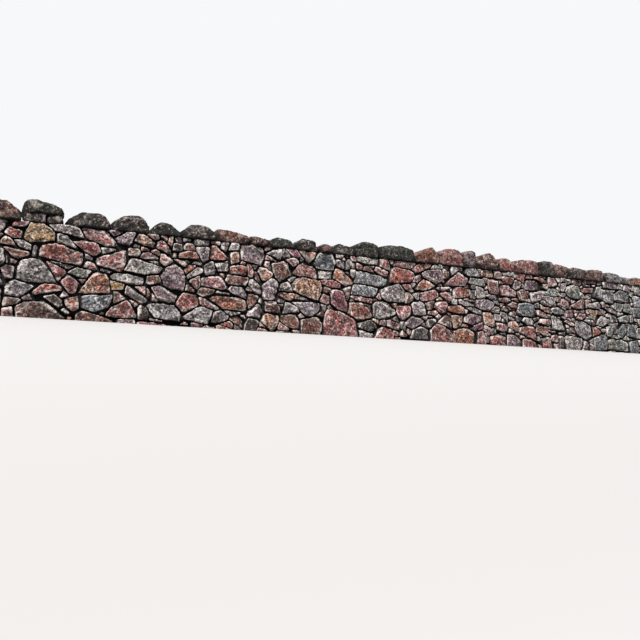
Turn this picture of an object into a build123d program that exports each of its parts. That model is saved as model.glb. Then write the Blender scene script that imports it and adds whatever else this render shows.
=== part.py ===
"""A free-standing dry stone wall: two battered faces of rubble built on foundation slabs, a core of hearting
between them, a head of larger stone at each end, and a run of rough cope stones along a top that climbs from
left to right.

The frame: +X runs along the wall from its low end to its high end, the front face looks towards -Y, +Z is up,
and the origin is the middle of the wall's footprint at ground level. All sizes are in millimetres.
"""

import os
from math import atan2, cos, radians, sin

from build123d import *

# The run of the wall
bay_count = 6
bay_length = 2000
head_length = 420

# The cross-section
base_width = 740  # across the two faces at ground level
batter = 9  # each face leans in 1 for this much rise
hearting_width = 190
body_height_left = 1140  # top of the walling, under the cope, at the low end
body_height_right = 1413  # and at the high end

# The foundation slabs, the same pattern turned round by one slab in each bay
footing_height = 110
footing_edge_height = 72  # where the worn top of a slab meets its outer edge
footing_joint = 10
footing_slabs = (  # width as a part of the bay, then how far each end stands out from the face
    (1.15, 44, 30),
    (0.80, 28, 48),
    (1.05, 46, 38),
)
head_footing_reach = 46  # how far the slabs under the heads stand out from the faces

# The cope: each stone's width, then the height of its outline at the left end, two crowns and the right end
cope_stones = (
    (610, 195, 220, 225, 110),
    (470, 270, 285, 225, 165),
    (510, 95, 175, 178, 130),
    (480, 118, 200, 226, 95),
    (380, 105, 170, 150, 70),
    (460, 98, 190, 206, 120),
    (490, 165, 170, 145, 125),
    (290, 120, 125, 108, 85),
    (420, 105, 147, 135, 60),
    (370, 95, 180, 162, 96),
    (220, 98, 126, 122, 95),
    (400, 108, 170, 135, 95),
    (420, 168, 230, 226, 178),
    (690, 185, 240, 252, 150),
    (470, 100, 190, 280, 235),
    (520, 205, 275, 302, 272),
    (320, 255, 290, 305, 245),
    (440, 150, 255, 310, 215),
    (390, 195, 235, 238, 168),
    (650, 215, 245, 262, 240),
    (400, 240, 280, 276, 250),
    (350, 235, 260, 242, 215),
    (450, 195, 220, 208, 190),
    (600, 185, 220, 236, 205),
    (400, 195, 202, 186, 160),
    (400, 140, 162, 152, 132),
    (400, 125, 170, 160, 118),
)
cope_joint = 10
cope_setback = 12  # the first and last stones stop this far short of the wall's ends
cope_depths = (500, 472, 514, 488, 522)  # from front to back, for one stone after another
cope_crowns = (0.30, 0.72)  # where the two crowns lie along a stone
cope_foot_draw = 18  # how far the foot is drawn in at each end of a stone
cope_groups = 6
packed_stone = 1  # the cope stone that stands on packing slabs, counted from 0 at the low end
packing_height = 105
packing_joint = 8
packing_depth = 450
packing_widths = (0.54, 0.46)  # how the two slabs share the stone's foot

# The dressing of the cope stones: each cut's slope in degrees, and how deep it bites, for one stone after another
front_dressing = ((56, 46), (38, 60), (64, 34), (47, 52))
back_dressing = ((44, 58), (60, 40), (35, 62))
corner_dressing = ((38, 62), (54, 44), (46, 70), (62, 36), (33, 50))

# Derived sizes
wall_length = bay_count * bay_length
wall_left = -wall_length / 2
half_base = base_width / 2
half_core = hearting_width / 2
tallest = max(body_height_left, body_height_right)
climb = atan2(body_height_right - body_height_left, wall_length)
along_top = Vector(cos(climb), 0, sin(climb))
out_of_top = Vector(-sin(climb), 0, cos(climb))
top_start = Vector(wall_left, 0, body_height_left)
top_plane = Plane(origin=top_start, x_dir=along_top, z_dir=out_of_top)


def face_reach(height):
    """How far a face of the walling stands from the wall's centre line at a height."""
    return half_base - height / batter


def walling(start, length, outline):
    """A length of walling with the given cross-section, finished off at the slope of the top."""
    with BuildPart() as mass:
        with BuildSketch(Plane.YZ.offset(start)):
            with BuildLine():
                Polyline(*outline, close=True)
            make_face()
        extrude(amount=length)
        split(bisect_by=top_plane, keep=Keep.BOTTOM)
    return mass


def face_outline(side):
    """The cross-section of one face from the footing up. The side is -1 at the front and 1 at the back."""
    return (
        (side * half_core, footing_height),
        (side * face_reach(footing_height), footing_height),
        (side * face_reach(tallest), tallest),
        (side * half_core, tallest),
    )


def head_outline():
    """The cross-section of a wall head, which is solid from face to face."""
    return (
        (-face_reach(footing_height), footing_height),
        (face_reach(footing_height), footing_height),
        (face_reach(tallest), tallest),
        (-face_reach(tallest), tallest),
    )


def hearting_outline():
    """The cross-section of the small packed stone between the faces, which goes down to the ground."""
    return ((-half_core, 0), (half_core, 0), (half_core, tallest), (-half_core, tallest))


def bay_span(bay):
    """Where a bay's walling starts and ends, less the head at each end of the wall."""
    start = wall_left + bay * bay_length
    end = start + bay_length
    if bay == 0:
        start += head_length
    if bay == bay_count - 1:
        end -= head_length
    return start, end


def wear_plane(start, side, reach):
    """The slope that wears a foundation slab's top down from the foot of the face to its outer edge."""
    return Plane(
        origin=(start, side * face_reach(footing_height), footing_height),
        z_dir=(0, side * (footing_height - footing_edge_height), reach - face_reach(footing_height)),
    )


def foundation_slab(start, end, side, reach_start, reach_end):
    """One slab of the footing under a face, with a ragged outer edge."""
    inner = side * half_core
    with BuildPart() as slab:
        with BuildSketch():
            with BuildLine():
                Polyline(
                    (start, inner),
                    (end, inner),
                    (end, side * (half_base + reach_end)),
                    (start, side * (half_base + reach_start)),
                    close=True,
                )
            make_face()
        extrude(amount=footing_height)
        widest = half_base + max(reach_start, reach_end)
        split(bisect_by=wear_plane(start, side, widest), keep=Keep.BOTTOM)
    return slab


def footing_row(bay, side):
    """The slabs under one face of a bay, with open joints between them."""
    start, end = bay_span(bay)
    turn = (bay + (side > 0)) % len(footing_slabs)
    pattern = footing_slabs[turn:] + footing_slabs[:turn]
    unit = (end - start) / sum(share for share, _, _ in pattern)
    half_joint = footing_joint / 2
    slabs = []
    for share, reach_start, reach_end in pattern:
        end = start + share * unit
        slabs.append(foundation_slab(start + half_joint, end - half_joint, side, reach_start, reach_end))
        start = end
    with BuildPart() as row:
        for slab in slabs:
            add(slab.part)
    return row


def head_slab(start):
    """The slab under a wall head, which runs across the wall from face to face."""
    reach = half_base + head_footing_reach
    with BuildPart() as slab:
        with BuildSketch():
            with Locations((start + head_length / 2, 0)):
                Rectangle(head_length, 2 * reach)
        extrude(amount=footing_height)
        for side in (-1, 1):
            split(bisect_by=wear_plane(start, side, reach), keep=Keep.BOTTOM)
    return slab


def top_sketch_plane(distance):
    """A plane for an outline seen from the front, its origin on the slope of the top."""
    return Plane(origin=top_start + along_top * distance, x_dir=along_top, z_dir=(0, -1, 0))


def dressing_plane(distance, rise, side, slope, bite, depth):
    """A cut along a stone's upper edge at the front or the back, sloping down and out."""
    lean = radians(slope)
    edge = top_start + along_top * distance + out_of_top * (rise - bite) + Vector(0, side * depth / 2, 0)
    return Plane(origin=edge, z_dir=out_of_top * cos(lean) + Vector(0, side * sin(lean), 0))


def corner_plane(distance, end, side, slope, bite, depth):
    """An upright cut across one corner of a stone. The end is -1 at its left and 1 at its right."""
    lean = radians(slope)
    edge = top_start + along_top * (distance - end * bite) + Vector(0, side * depth / 2, 0)
    return Plane(origin=edge, z_dir=along_top * (end * sin(lean)) + Vector(0, side * cos(lean), 0))


def cope_stone(number, distance, width, heights, rise):
    """A rough block laid across the top: an outline drawn through the wall, then dressed by flat cuts."""
    left, left_crown, right_crown, right = heights
    depth = cope_depths[number % len(cope_depths)]
    with BuildPart() as stone:
        with BuildSketch(top_sketch_plane(distance)):
            with BuildLine():
                Polyline(
                    (cope_foot_draw, rise),
                    (width - cope_foot_draw, rise),
                    (width, rise + (right - rise) / 2),
                    (width - cope_foot_draw / 2, right),
                    (width * cope_crowns[1], right_crown),
                    (width * cope_crowns[0], left_crown),
                    (cope_foot_draw / 2, left),
                    (0, rise + (left - rise) / 2),
                    close=True,
                )
            make_face()
        extrude(amount=depth / 2, both=True)
        crown = max(heights)
        slope, bite = front_dressing[number % len(front_dressing)]
        split(bisect_by=dressing_plane(distance, crown, -1, slope, bite, depth), keep=Keep.BOTTOM)
        slope, bite = back_dressing[number % len(back_dressing)]
        split(bisect_by=dressing_plane(distance, crown, 1, slope, bite, depth), keep=Keep.BOTTOM)
        slope, bite = corner_dressing[number % len(corner_dressing)]
        for corner, end, side in ((distance, -1, -1), (distance + width, 1, 1)):
            split(bisect_by=corner_plane(corner, end, side, slope, bite, depth), keep=Keep.BOTTOM)
    return stone


def packing_slabs(distance, width):
    """Two thin slabs side by side that level up the foot of the packed stone."""
    with BuildPart() as slabs:
        for share in packing_widths:
            slab_width = share * width - packing_joint
            with BuildSketch(top_sketch_plane(distance)):
                with BuildLine():
                    Polyline(
                        (0, 0),
                        (slab_width, 0),
                        (slab_width - packing_joint, packing_height),
                        (packing_joint, packing_height),
                        close=True,
                    )
                make_face()
            extrude(amount=packing_depth / 2, both=True)
            distance += share * width
    return slabs


def keep_piece(piece, name):
    """Names a finished piece and writes it out."""
    piece.part.label = name
    export_step(piece.part, f"parts/{name}.step")


os.makedirs("parts", exist_ok=True)

# The hearting, in one mass from head to head
core_start = wall_left + head_length
keep_piece(walling(core_start, wall_length - 2 * head_length, hearting_outline()), "hearting")

# The faces and their footings, bay by bay
for bay in range(bay_count):
    start, end = bay_span(bay)
    for side, name in ((-1, "front"), (1, "back")):
        keep_piece(walling(start, end - start, face_outline(side)), f"{name}_face_{bay + 1}")
        keep_piece(footing_row(bay, side), f"{name}_footing_{bay + 1}")

# The wall heads
for start, name in ((wall_left, "left"), (-wall_left - head_length, "right")):
    keep_piece(walling(start, head_length, head_outline()), f"{name}_head")
    keep_piece(head_slab(start), f"{name}_head_footing")

# The cope, laid from the low end, each stone with half an open joint on either hand
run_length = wall_length / cos(climb) - 2 * cope_setback
run_scale = run_length / sum(stone[0] for stone in cope_stones)
laid = []
pitch_start = cope_setback
for number, (width, *heights) in enumerate(cope_stones):
    stone_start = pitch_start + cope_joint / 2
    stone_width = width * run_scale - cope_joint
    rise = packing_height if number == packed_stone else 0
    laid.append(cope_stone(number, stone_start, stone_width, heights, rise))
    if rise:
        foot_width = stone_width - 2 * cope_foot_draw
        keep_piece(packing_slabs(stone_start + cope_foot_draw, foot_width), "packing_slabs")
    pitch_start += width * run_scale

for group in range(cope_groups):
    first = group * len(laid) // cope_groups
    last = (group + 1) * len(laid) // cope_groups
    with BuildPart() as cope:
        for stone in laid[first:last]:
            add(stone.part)
    keep_piece(cope, f"cope_stones_{group + 1}")
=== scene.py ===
"""Dresses a dry stone wall of mixed granite. Every face stone, pin, foundation slab, head stone and cope
stone is a broken, weathered block of its own, laid dry with open joints.

Lengths are in metres. X runs along the wall, the front face looks towards -Y and Z is up.
"""

import math
import random
from dataclasses import dataclass
from itertools import repeat

import bmesh
import bpy
import numpy as np
from bpy.props import FloatProperty, FloatVectorProperty, IntProperty, PointerProperty
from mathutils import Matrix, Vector, noise


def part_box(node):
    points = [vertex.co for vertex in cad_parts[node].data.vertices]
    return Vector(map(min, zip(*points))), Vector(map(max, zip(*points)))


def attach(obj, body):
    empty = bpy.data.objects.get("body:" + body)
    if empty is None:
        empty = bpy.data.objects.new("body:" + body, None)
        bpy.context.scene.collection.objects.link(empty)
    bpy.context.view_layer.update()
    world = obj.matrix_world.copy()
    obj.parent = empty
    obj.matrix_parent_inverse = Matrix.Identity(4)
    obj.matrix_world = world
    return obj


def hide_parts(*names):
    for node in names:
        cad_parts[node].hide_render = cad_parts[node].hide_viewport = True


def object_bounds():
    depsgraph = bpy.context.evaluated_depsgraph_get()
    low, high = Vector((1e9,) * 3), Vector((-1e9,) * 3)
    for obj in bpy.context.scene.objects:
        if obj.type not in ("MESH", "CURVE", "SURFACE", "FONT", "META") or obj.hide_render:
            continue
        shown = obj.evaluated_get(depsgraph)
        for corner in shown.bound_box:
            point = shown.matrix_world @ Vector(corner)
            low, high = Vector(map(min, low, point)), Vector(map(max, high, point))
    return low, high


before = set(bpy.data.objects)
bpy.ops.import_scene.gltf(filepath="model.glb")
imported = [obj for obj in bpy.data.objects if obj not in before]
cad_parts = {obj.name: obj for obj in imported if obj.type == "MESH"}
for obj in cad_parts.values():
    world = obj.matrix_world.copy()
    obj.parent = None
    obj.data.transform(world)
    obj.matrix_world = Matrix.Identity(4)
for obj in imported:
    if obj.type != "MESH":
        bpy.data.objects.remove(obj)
cad_low, cad_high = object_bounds()

bl_info = {
    "name": "Dry stone wall",
    "version": (1, 0, 0),
    "blender": (4, 5, 0),
    "location": "3D View > Sidebar > Dry Stone",
    "description": "Lays the stones of a battered dry stone wall and its rough cope",
    "category": "Add Mesh",
}

# The wall's own measures, from the frame
BATTER = 9  # each face leans in 1 for this much rise
FIRST_BAY_LOW, FIRST_BAY_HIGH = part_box("front_face_1")
FIFTH_BAY_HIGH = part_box("front_face_5")[1]
WALL_LEFT, WALL_RIGHT = cad_low.x, cad_high.x
BAY_COUNT = 6
BAY_LENGTH = (WALL_RIGHT - WALL_LEFT) / BAY_COUNT
HALF_BASE = FIRST_BAY_LOW.z / BATTER - FIRST_BAY_LOW.y
HALF_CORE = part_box("hearting")[1].y
FOOTING_HEIGHT = FIRST_BAY_LOW.z
CLIMB = (FIFTH_BAY_HIGH.z - FIRST_BAY_HIGH.z) / (FIFTH_BAY_HIGH.x - FIRST_BAY_HIGH.x)
MARK = WALL_LEFT + 4.4  # a mark on the wall that places along it are measured from

# The granites in the wall, as sRGB: the ground of the stone, and the stain that lies over it in patches
GRANITES = {
    "white": ("#b6b2b0", "#9a9291"),
    "pale": ("#a29d9b", "#8a8182"),
    "grey": ("#8a8587", "#786d70"),
    "blue": ("#878c93", "#77787f"),
    "slate": ("#666b70", "#575e61"),
    "dark": ("#544d4c", "#463d3c"),
    "green": ("#80847e", "#6d756b"),
    "mauve": ("#aba1a8", "#948088"),
    "lilac": ("#90858c", "#80676f"),
    "purple": ("#7b6d74", "#74505c"),
    "pink": ("#9e7576", "#a55b5a"),
    "pale_pink": ("#b38e8b", "#b06b66"),
    "rose": ("#8f6c69", "#995047"),
    "red": ("#9c6d64", "#a84d3e"),
    "crimson": ("#825d65", "#894652"),
    "rust": ("#93695a", "#a35b41"),
    "orange": ("#a47a66", "#b26c4a"),
    "ochre": ("#a88a6a", "#ae8856"),
    "tan": ("#a5806e", "#aa785a"),
    "peach": ("#b59280", "#ba8064"),
    "brown": ("#7f6258", "#7e4f42"),
    "umber": ("#564843", "#3b2f2a"),
    "olive": ("#3b372a", "#272618"),
    "russet": ("#69463e", "#6a362b"),
    "charcoal": ("#242521", "#141611"),
}

# The face stones as measured: granite, then the corners, anticlockwise, each as its distance from the mark
# and its height above the ground, in centimetres
FACE_STONES = (
    # from 4.1 to 2 m before the mark
    ("pale_pink", -410, 107, -388, 108, -387, 113, -400, 115, -410, 114),
    ("pink", -386, 107, -377, 107, -378, 112, -384, 115),
    ("rose", -394, 98, -386, 94, -378, 96, -380, 105, -386, 107, -393, 106),
    ("ochre", -377, 94, -363, 92, -343, 97, -346, 107, -352, 113, -372, 111, -377, 103),
    ("white", -348, 111, -338, 106, -317, 102, -311, 103, -315, 111, -325, 116, -341, 117),
    ("pale", -341, 95, -323, 89, -321, 91, -326, 98, -332, 105, -341, 105),
    ("pink", -310, 104, -292, 97, -275, 97, -274, 102, -282, 109, -295, 112, -309, 113),
    ("pink", -323, 97, -315, 89, -302, 80, -294, 87, -296, 94, -304, 100, -314, 102),
    ("lilac", -310, 77, -301, 76, -300, 81, -306, 84, -310, 82),
    ("rose", -361, 76, -341, 72, -318, 69, -312, 73, -312, 86, -335, 92, -347, 91, -361, 87),
    ("grey", -368, 75, -362, 75, -362, 88, -367, 87),
    ("tan", -398, 87, -395, 85, -387, 84, -386, 88, -391, 92, -397, 92),
    ("white", -387, 91, -382, 84, -370, 82, -368, 87, -378, 93, -386, 93),
    ("rust", -398, 80, -391, 72, -382, 69, -371, 75, -373, 81, -394, 84),
    ("grey", -399, 68, -393, 64, -391, 66, -392, 74, -398, 76),
    ("rose", -390, 66, -384, 65, -383, 69, -388, 71),
    ("pale", -382, 46, -360, 44, -343, 46, -343, 51, -357, 72, -366, 73, -379, 69, -383, 59),
    ("purple", -397, 55, -394, 46, -385, 46, -384, 61, -395, 63),
    ("pink", -353, 69, -342, 50, -338, 49, -331, 58, -334, 64, -346, 69),
    ("dark", -341, 68, -330, 64, -324, 66, -326, 69, -338, 70),
    ("green", -329, 61, -322, 57, -312, 54, -305, 61, -309, 65, -319, 67),
    ("pink", -313, 68, -299, 66, -298, 68, -305, 76, -310, 75),
    ("pink", -337, 49, -326, 34, -320, 36, -315, 48, -322, 55, -332, 55),
    ("orange", -318, 39, -297, 37, -280, 38, -285, 63, -295, 65, -302, 61),
    ("pale_pink", -301, 79, -295, 70, -273, 66, -261, 81, -261, 91, -265, 98, -271, 96, -289, 88),
    ("grey", -291, 89, -284, 87, -276, 88, -276, 91, -288, 92),
    ("lilac", -278, 107, -273, 100, -258, 100, -254, 110, -262, 115, -270, 113),
    ("peach", -255, 106, -232, 100, -228, 102, -231, 109, -238, 114, -245, 115),
    ("pink", -227, 100, -209, 95, -206, 96, -213, 107, -219, 113, -226, 110),
    ("brown", -261, 87, -255, 87, -245, 95, -252, 99, -261, 99),
    ("crimson", -246, 88, -238, 85, -224, 87, -224, 90, -235, 95, -242, 94),
    ("pale_pink", -222, 83, -214, 79, -207, 83, -206, 88, -213, 93, -221, 94),
    ("white", -267, 67, -243, 66, -223, 68, -218, 75, -219, 78, -256, 87, -259, 84),
    ("white", -281, 61, -277, 56, -254, 52, -243, 53, -241, 57, -250, 64, -275, 65),
    ("brown", -240, 56, -233, 54, -225, 57, -223, 60, -232, 65, -239, 62),
    ("purple", -218, 55, -210, 50, -193, 50, -190, 62, -192, 72, -199, 82, -208, 81, -217, 73, -221, 65),
    ("ochre", -280, 48, -274, 44, -267, 44, -266, 48, -271, 52, -278, 53),
    ("grey", -264, 38, -244, 28, -236, 35, -245, 42, -255, 50, -263, 51),
    ("pale_pink", -248, 45, -243, 42, -239, 43, -240, 49, -245, 51),
    ("brown", -239, 39, -234, 38, -233, 46, -238, 50),
    ("pale_pink", -277, 27, -266, 32, -267, 36, -274, 42, -277, 41),
    ("purple", -233, 47, -225, 35, -203, 32, -198, 41, -202, 47, -215, 52, -230, 53),
    ("blue", -314, 26, -310, 18, -298, 15, -285, 20, -279, 31, -282, 36, -294, 37, -313, 32),
    ("rust", -334, 28, -332, 20, -323, 13, -315, 18, -315, 31, -321, 33),
    ("umber", -354, 29, -340, 19, -335, 18, -333, 25, -338, 29, -349, 32),
    ("red", -365, 30, -336, 36, -334, 39, -341, 44, -357, 43, -361, 39),
    ("grey", -393, 29, -379, 27, -372, 32, -362, 41, -363, 43, -385, 46, -394, 42),
    ("brown", -383, 0, -330, 0, -329, 9, -343, 18, -357, 24, -375, 22, -384, 14),
    ("brown", -395, 18, -388, 16, -377, 22, -382, 25, -392, 25),
    ("pale_pink", -397, 0, -383, 0, -383, 9, -387, 15, -396, 13),
    ("brown", -323, 0, -280, 0, -281, 9, -304, 13, -315, 16, -321, 10),
    ("rose", -286, 13, -269, 9, -249, 9, -249, 14, -256, 26, -264, 32, -278, 24),
    ("umber", -250, 10, -239, 9, -238, 24, -246, 28, -251, 22),
    ("white", -239, 25, -230, 13, -215, 11, -195, 9, -195, 19, -202, 27, -213, 32, -233, 32),
    ("pink", -253, 0, -205, 0, -205, 5, -220, 7, -245, 8, -252, 3),
    # from 2 m before the mark up to it
    ("green", -192, 115, -185, 114, -181, 117, -182, 119, -191, 119),
    ("olive", -207, 102, -197, 101, -193, 104, -194, 109, -205, 110),
    ("rose", -192, 104, -176, 103, -175, 110, -181, 115, -187, 114),
    ("pale", -178, 111, -163, 112, -160, 116, -177, 116),
    ("lilac", -173, 102, -163, 89, -157, 100, -161, 107, -168, 111, -173, 107),
    ("red", -157, 95, -140, 96, -130, 99, -131, 103, -141, 112, -150, 115, -154, 111),
    ("rust", -199, 93, -192, 91, -174, 91, -170, 97, -173, 103, -182, 103, -198, 99),
    ("peach", -202, 89, -190, 81, -187, 86, -192, 90, -201, 90),
    ("orange", -191, 77, -187, 76, -178, 82, -179, 86, -183, 86),
    ("grey", -181, 85, -170, 84, -168, 87, -176, 90),
    ("grey", -166, 85, -164, 77, -149, 76, -153, 91, -157, 92),
    ("pale", -148, 87, -144, 79, -131, 80, -131, 91, -135, 94, -146, 90),
    ("white", -188, 69, -185, 65, -165, 76, -166, 80, -172, 82),
    ("pale_pink", -183, 59, -179, 55, -173, 54, -170, 60, -170, 67, -180, 68),
    ("pink", -170, 64, -167, 58, -137, 55, -132, 59, -139, 71, -146, 76, -156, 73, -168, 68),
    ("tan", -142, 75, -139, 73, -136, 75, -138, 78, -141, 78),
    ("brown", -190, 50, -178, 49, -176, 51, -180, 54, -189, 54),
    ("brown", -175, 49, -168, 44, -150, 53, -160, 56, -171, 55),
    ("pale", -150, 51, -135, 49, -131, 51, -138, 53, -149, 53),
    ("rust", -160, 42, -149, 35, -133, 29, -111, 27, -107, 31, -109, 40, -118, 47, -149, 49),
    ("rose", -171, 41, -162, 32, -149, 29, -150, 34, -160, 41, -169, 43),
    ("rose", -200, 32, -193, 22, -173, 34, -175, 47, -193, 48, -199, 40),
    ("white", -194, 14, -183, 11, -161, 8, -157, 20, -157, 27, -169, 30, -180, 25),
    ("grey", -156, 15, -149, 11, -136, 15, -132, 21, -142, 28, -152, 26),
    ("white", -137, 29, -134, 24, -125, 22, -119, 24, -120, 27, -131, 30),
    ("brown", -132, 17, -118, 8, -113, 10, -114, 20, -120, 24, -128, 22),
    ("umber", -114, 0, -100, 0, -94, 8, -92, 20, -107, 21, -112, 12),
    ("lilac", -108, 23, -98, 20, -88, 21, -83, 31, -86, 39, -94, 40, -101, 34),
    ("brown", -107, 41, -100, 35, -93, 42, -88, 50, -90, 54, -103, 55),
    ("white", -89, 44, -85, 41, -84, 43, -88, 47),
    ("lilac", -132, 59, -122, 50, -108, 47, -105, 53, -111, 59, -128, 62),
    ("brown", -136, 68, -130, 63, -107, 63, -104, 74, -110, 78, -131, 79),
    ("red", -128, 83, -122, 77, -106, 78, -105, 91, -117, 92, -126, 88),
    ("red", -104, 79, -96, 77, -95, 84, -99, 93, -104, 94),
    ("rust", -94, 76, -89, 72, -87, 78, -91, 87, -94, 86),
    ("peach", -89, 79, -85, 71, -81, 71, -68, 83, -75, 90, -88, 92, -91, 87),
    ("grey", -104, 65, -94, 54, -86, 57, -87, 66, -96, 74, -102, 72),
    ("purple", -113, 100, -95, 96, -82, 94, -78, 109, -80, 118, -92, 120, -114, 116),
    ("orange", -127, 92, -115, 97, -114, 105, -117, 109, -127, 105),
    ("pale", -131, 110, -116, 112, -116, 117, -125, 116),
    ("grey", -76, 113, -60, 107, -53, 111, -53, 121, -65, 119),
    ("grey", -52, 108, -41, 112, -40, 115, -46, 121, -51, 116),
    ("crimson", -43, 118, -34, 112, -24, 111, -25, 119, -28, 122, -42, 122),
    ("pink", -77, 104, -62, 103, -61, 105, -74, 109),
    ("brown", -79, 94, -73, 90, -70, 91, -71, 100, -76, 101),
    ("brown", -62, 77, -57, 74, -37, 86, -40, 95, -46, 103, -68, 98, -67, 90),
    ("pale_pink", -45, 106, -37, 98, -25, 104, -27, 108, -32, 110),
    ("mauve", -84, 60, -78, 48, -65, 50, -60, 63, -60, 74, -68, 80, -85, 68),
    ("grey", -59, 61, -43, 61, -42, 72, -45, 75, -57, 69),
    ("orange", -59, 53, -50, 50, -40, 53, -36, 57, -45, 60, -58, 60),
    ("russet", -82, 34, -75, 30, -57, 36, -64, 46, -82, 45),
    ("grey", -56, 31, -31, 34, -31, 38, -40, 46, -50, 47),
    ("tan", -89, 18, -79, 11, -71, 3, -66, 9, -62, 21, -64, 28, -77, 29, -87, 22),
    ("rust", -56, 20, -46, 12, -34, 11, -29, 20, -32, 26, -41, 29, -56, 26),
    ("rose", -98, 0, -74, 0, -78, 5, -88, 8, -95, 5),
    ("grey", -69, 0, -44, 0, -45, 6, -63, 7),
    ("pale_pink", -177, 0, -153, 0, -153, 3, -162, 6, -172, 3),
    ("peach", -152, 0, -120, 0, -132, 4, -145, 9, -151, 5),
    ("dark", -205, 0, -185, 0, -186, 5, -204, 5),
    # from the mark to 1.7 m past it
    ("brown", -28, 5, 4, 4, 6, 26, -10, 28, -27, 24),
    ("peach", -12, 104, -6, 106, 2, 118, 2, 124, -22, 125, -25, 122),
    ("rose", -37, 87, -5, 85, 2, 87, 2, 96, -8, 105, -18, 108, -31, 98),
    ("slate", -1, 104, 5, 99, 29, 99, 35, 110, 35, 120, 27, 122, 7, 121, 1, 113),
    ("pale", 36, 106, 45, 103, 49, 108, 48, 115, 40, 117, 35, 112),
    ("grey", 51, 102, 55, 103, 60, 109, 61, 119, 56, 120, 52, 112),
    ("grey", 36, 119, 46, 119, 52, 124, 51, 127, 38, 122),
    ("white", 74, 115, 102, 116, 111, 115, 112, 126, 94, 127, 75, 124),
    ("pale_pink", 114, 115, 129, 111, 133, 114, 131, 121, 116, 122),
    ("rose", 70, 109, 78, 105, 83, 110, 80, 115, 73, 117),
    ("pale_pink", 82, 106, 99, 103, 105, 104, 93, 112, 85, 113),
    ("pink", 104, 106, 123, 98, 128, 107, 108, 114),
    ("red", 127, 88, 169, 94, 177, 107, 171, 115, 136, 115, 131, 102),
    ("pale_pink", 136, 117, 168, 118, 175, 121, 160, 123, 137, 121),
    ("pale", 6, 88, 13, 85, 23, 86, 26, 92, 23, 98, 7, 98),
    ("orange", 28, 86, 39, 83, 50, 78, 61, 82, 60, 88, 47, 100, 39, 104, 32, 98),
    ("grey", 58, 97, 62, 94, 66, 98, 64, 103, 59, 102),
    ("blue", 65, 88, 73, 83, 111, 82, 123, 87, 122, 92, 108, 100, 78, 104, 69, 98),
    ("blue", 57, 67, 72, 65, 100, 65, 111, 79, 105, 82, 64, 81),
    ("grey", 111, 70, 123, 60, 148, 61, 154, 71, 152, 82, 145, 90, 124, 83, 110, 79),
    ("pink", 151, 87, 162, 80, 169, 78, 168, 88, 158, 90),
    ("brown", 154, 62, 160, 60, 171, 68, 168, 74, 158, 79),
    ("pink", 102, 65, 108, 63, 109, 70, 105, 72),
    ("tan", -37, 64, -20, 57, -3, 53, 4, 56, 10, 74, 8, 81, -18, 84, -33, 81, -40, 73),
    ("pink", 10, 77, 22, 73, 40, 74, 39, 82, 21, 85, 11, 80),
    ("rose", 10, 65, 15, 63, 23, 70, 20, 73, 12, 73),
    ("rose", 6, 55, 14, 48, 20, 50, 20, 62, 12, 64),
    ("crimson", 22, 50, 31, 44, 50, 40, 52, 56, 47, 72, 34, 72, 23, 67),
    ("brown", 46, 60, 52, 57, 57, 70, 53, 77, 46, 74),
    ("pale_pink", 57, 62, 65, 58, 91, 55, 96, 60, 91, 64, 60, 65),
    ("rust", 51, 40, 62, 31, 85, 31, 93, 41, 80, 52, 69, 56, 56, 54),
    ("grey", 93, 36, 105, 32, 123, 36, 137, 42, 136, 48, 127, 56, 116, 62, 100, 58, 93, 50),
    ("pink", 141, 41, 147, 34, 161, 41, 166, 52, 160, 58, 140, 57, 138, 48),
    ("lilac", -30, 39, -20, 30, -9, 30, 6, 40, 5, 45, 0, 50, -36, 50),
    ("rose", 0, 31, 7, 29, 9, 33, 4, 36),
    ("pink", 8, 0, 64, 0, 64, 16, 62, 28, 50, 36, 31, 41, 17, 43, 10, 33, 7, 18),
    ("dark", 66, 17, 86, 12, 100, 20, 100, 24, 89, 32, 68, 27),
    ("red", 84, 0, 130, 0, 128, 10, 118, 20, 107, 21, 95, 15),
    ("rose", 104, 26, 110, 23, 116, 27, 113, 31, 106, 31),
    ("pale_pink", 116, 25, 130, 19, 140, 18, 141, 27, 122, 33, 116, 31),
    ("pale_pink", 137, 0, 170, 0, 168, 6, 140, 6),
    # from 1.7 to 3.5 m past the mark
    ("pale_pink", 175, 114, 183, 110, 205, 120, 208, 123, 203, 126, 187, 124),
    ("white", 210, 121, 230, 122, 232, 125, 218, 126),
    ("purple", 195, 106, 208, 100, 224, 96, 232, 103, 231, 118, 218, 120, 200, 117),
    ("crimson", 173, 95, 180, 94, 191, 102, 190, 108, 180, 105),
    ("rust", 173, 83, 190, 84, 213, 89, 223, 93, 200, 101, 182, 93),
    ("pink", 185, 72, 191, 66, 206, 69, 224, 78, 224, 83, 218, 88, 198, 82, 186, 78),
    ("pink", 225, 79, 242, 68, 246, 69, 246, 81, 238, 88, 229, 85),
    ("pale", 169, 77, 177, 68, 185, 77, 182, 80),
    ("lilac", 168, 45, 177, 43, 193, 45, 195, 52, 193, 60, 185, 65, 172, 63, 168, 55),
    ("rose", 196, 55, 205, 54, 208, 60, 206, 65, 196, 64),
    ("rose", 200, 45, 210, 44, 215, 47, 211, 53, 203, 52),
    ("pink", 211, 58, 223, 48, 237, 50, 238, 62, 231, 69, 216, 68),
    ("orange", 239, 55, 257, 51, 270, 53, 272, 61, 265, 65, 246, 64),
    ("tan", 245, 30, 255, 28, 268, 35, 272, 48, 268, 50, 246, 50),
    ("white", 248, 68, 256, 67, 260, 70, 257, 74, 249, 74),
    ("white", 263, 69, 278, 65, 296, 65, 299, 71, 286, 73, 270, 76),
    ("pale", 276, 61, 296, 54, 310, 56, 309, 60, 296, 64),
    ("purple", 270, 38, 285, 34, 310, 42, 310, 51, 280, 53, 270, 46),
    ("crimson", 288, 32, 298, 27, 309, 30, 310, 39, 296, 36),
    ("red", 252, 79, 264, 77, 286, 81, 288, 93, 271, 98, 258, 94),
    ("dark", 288, 79, 297, 78, 302, 83, 302, 95, 289, 95),
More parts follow.
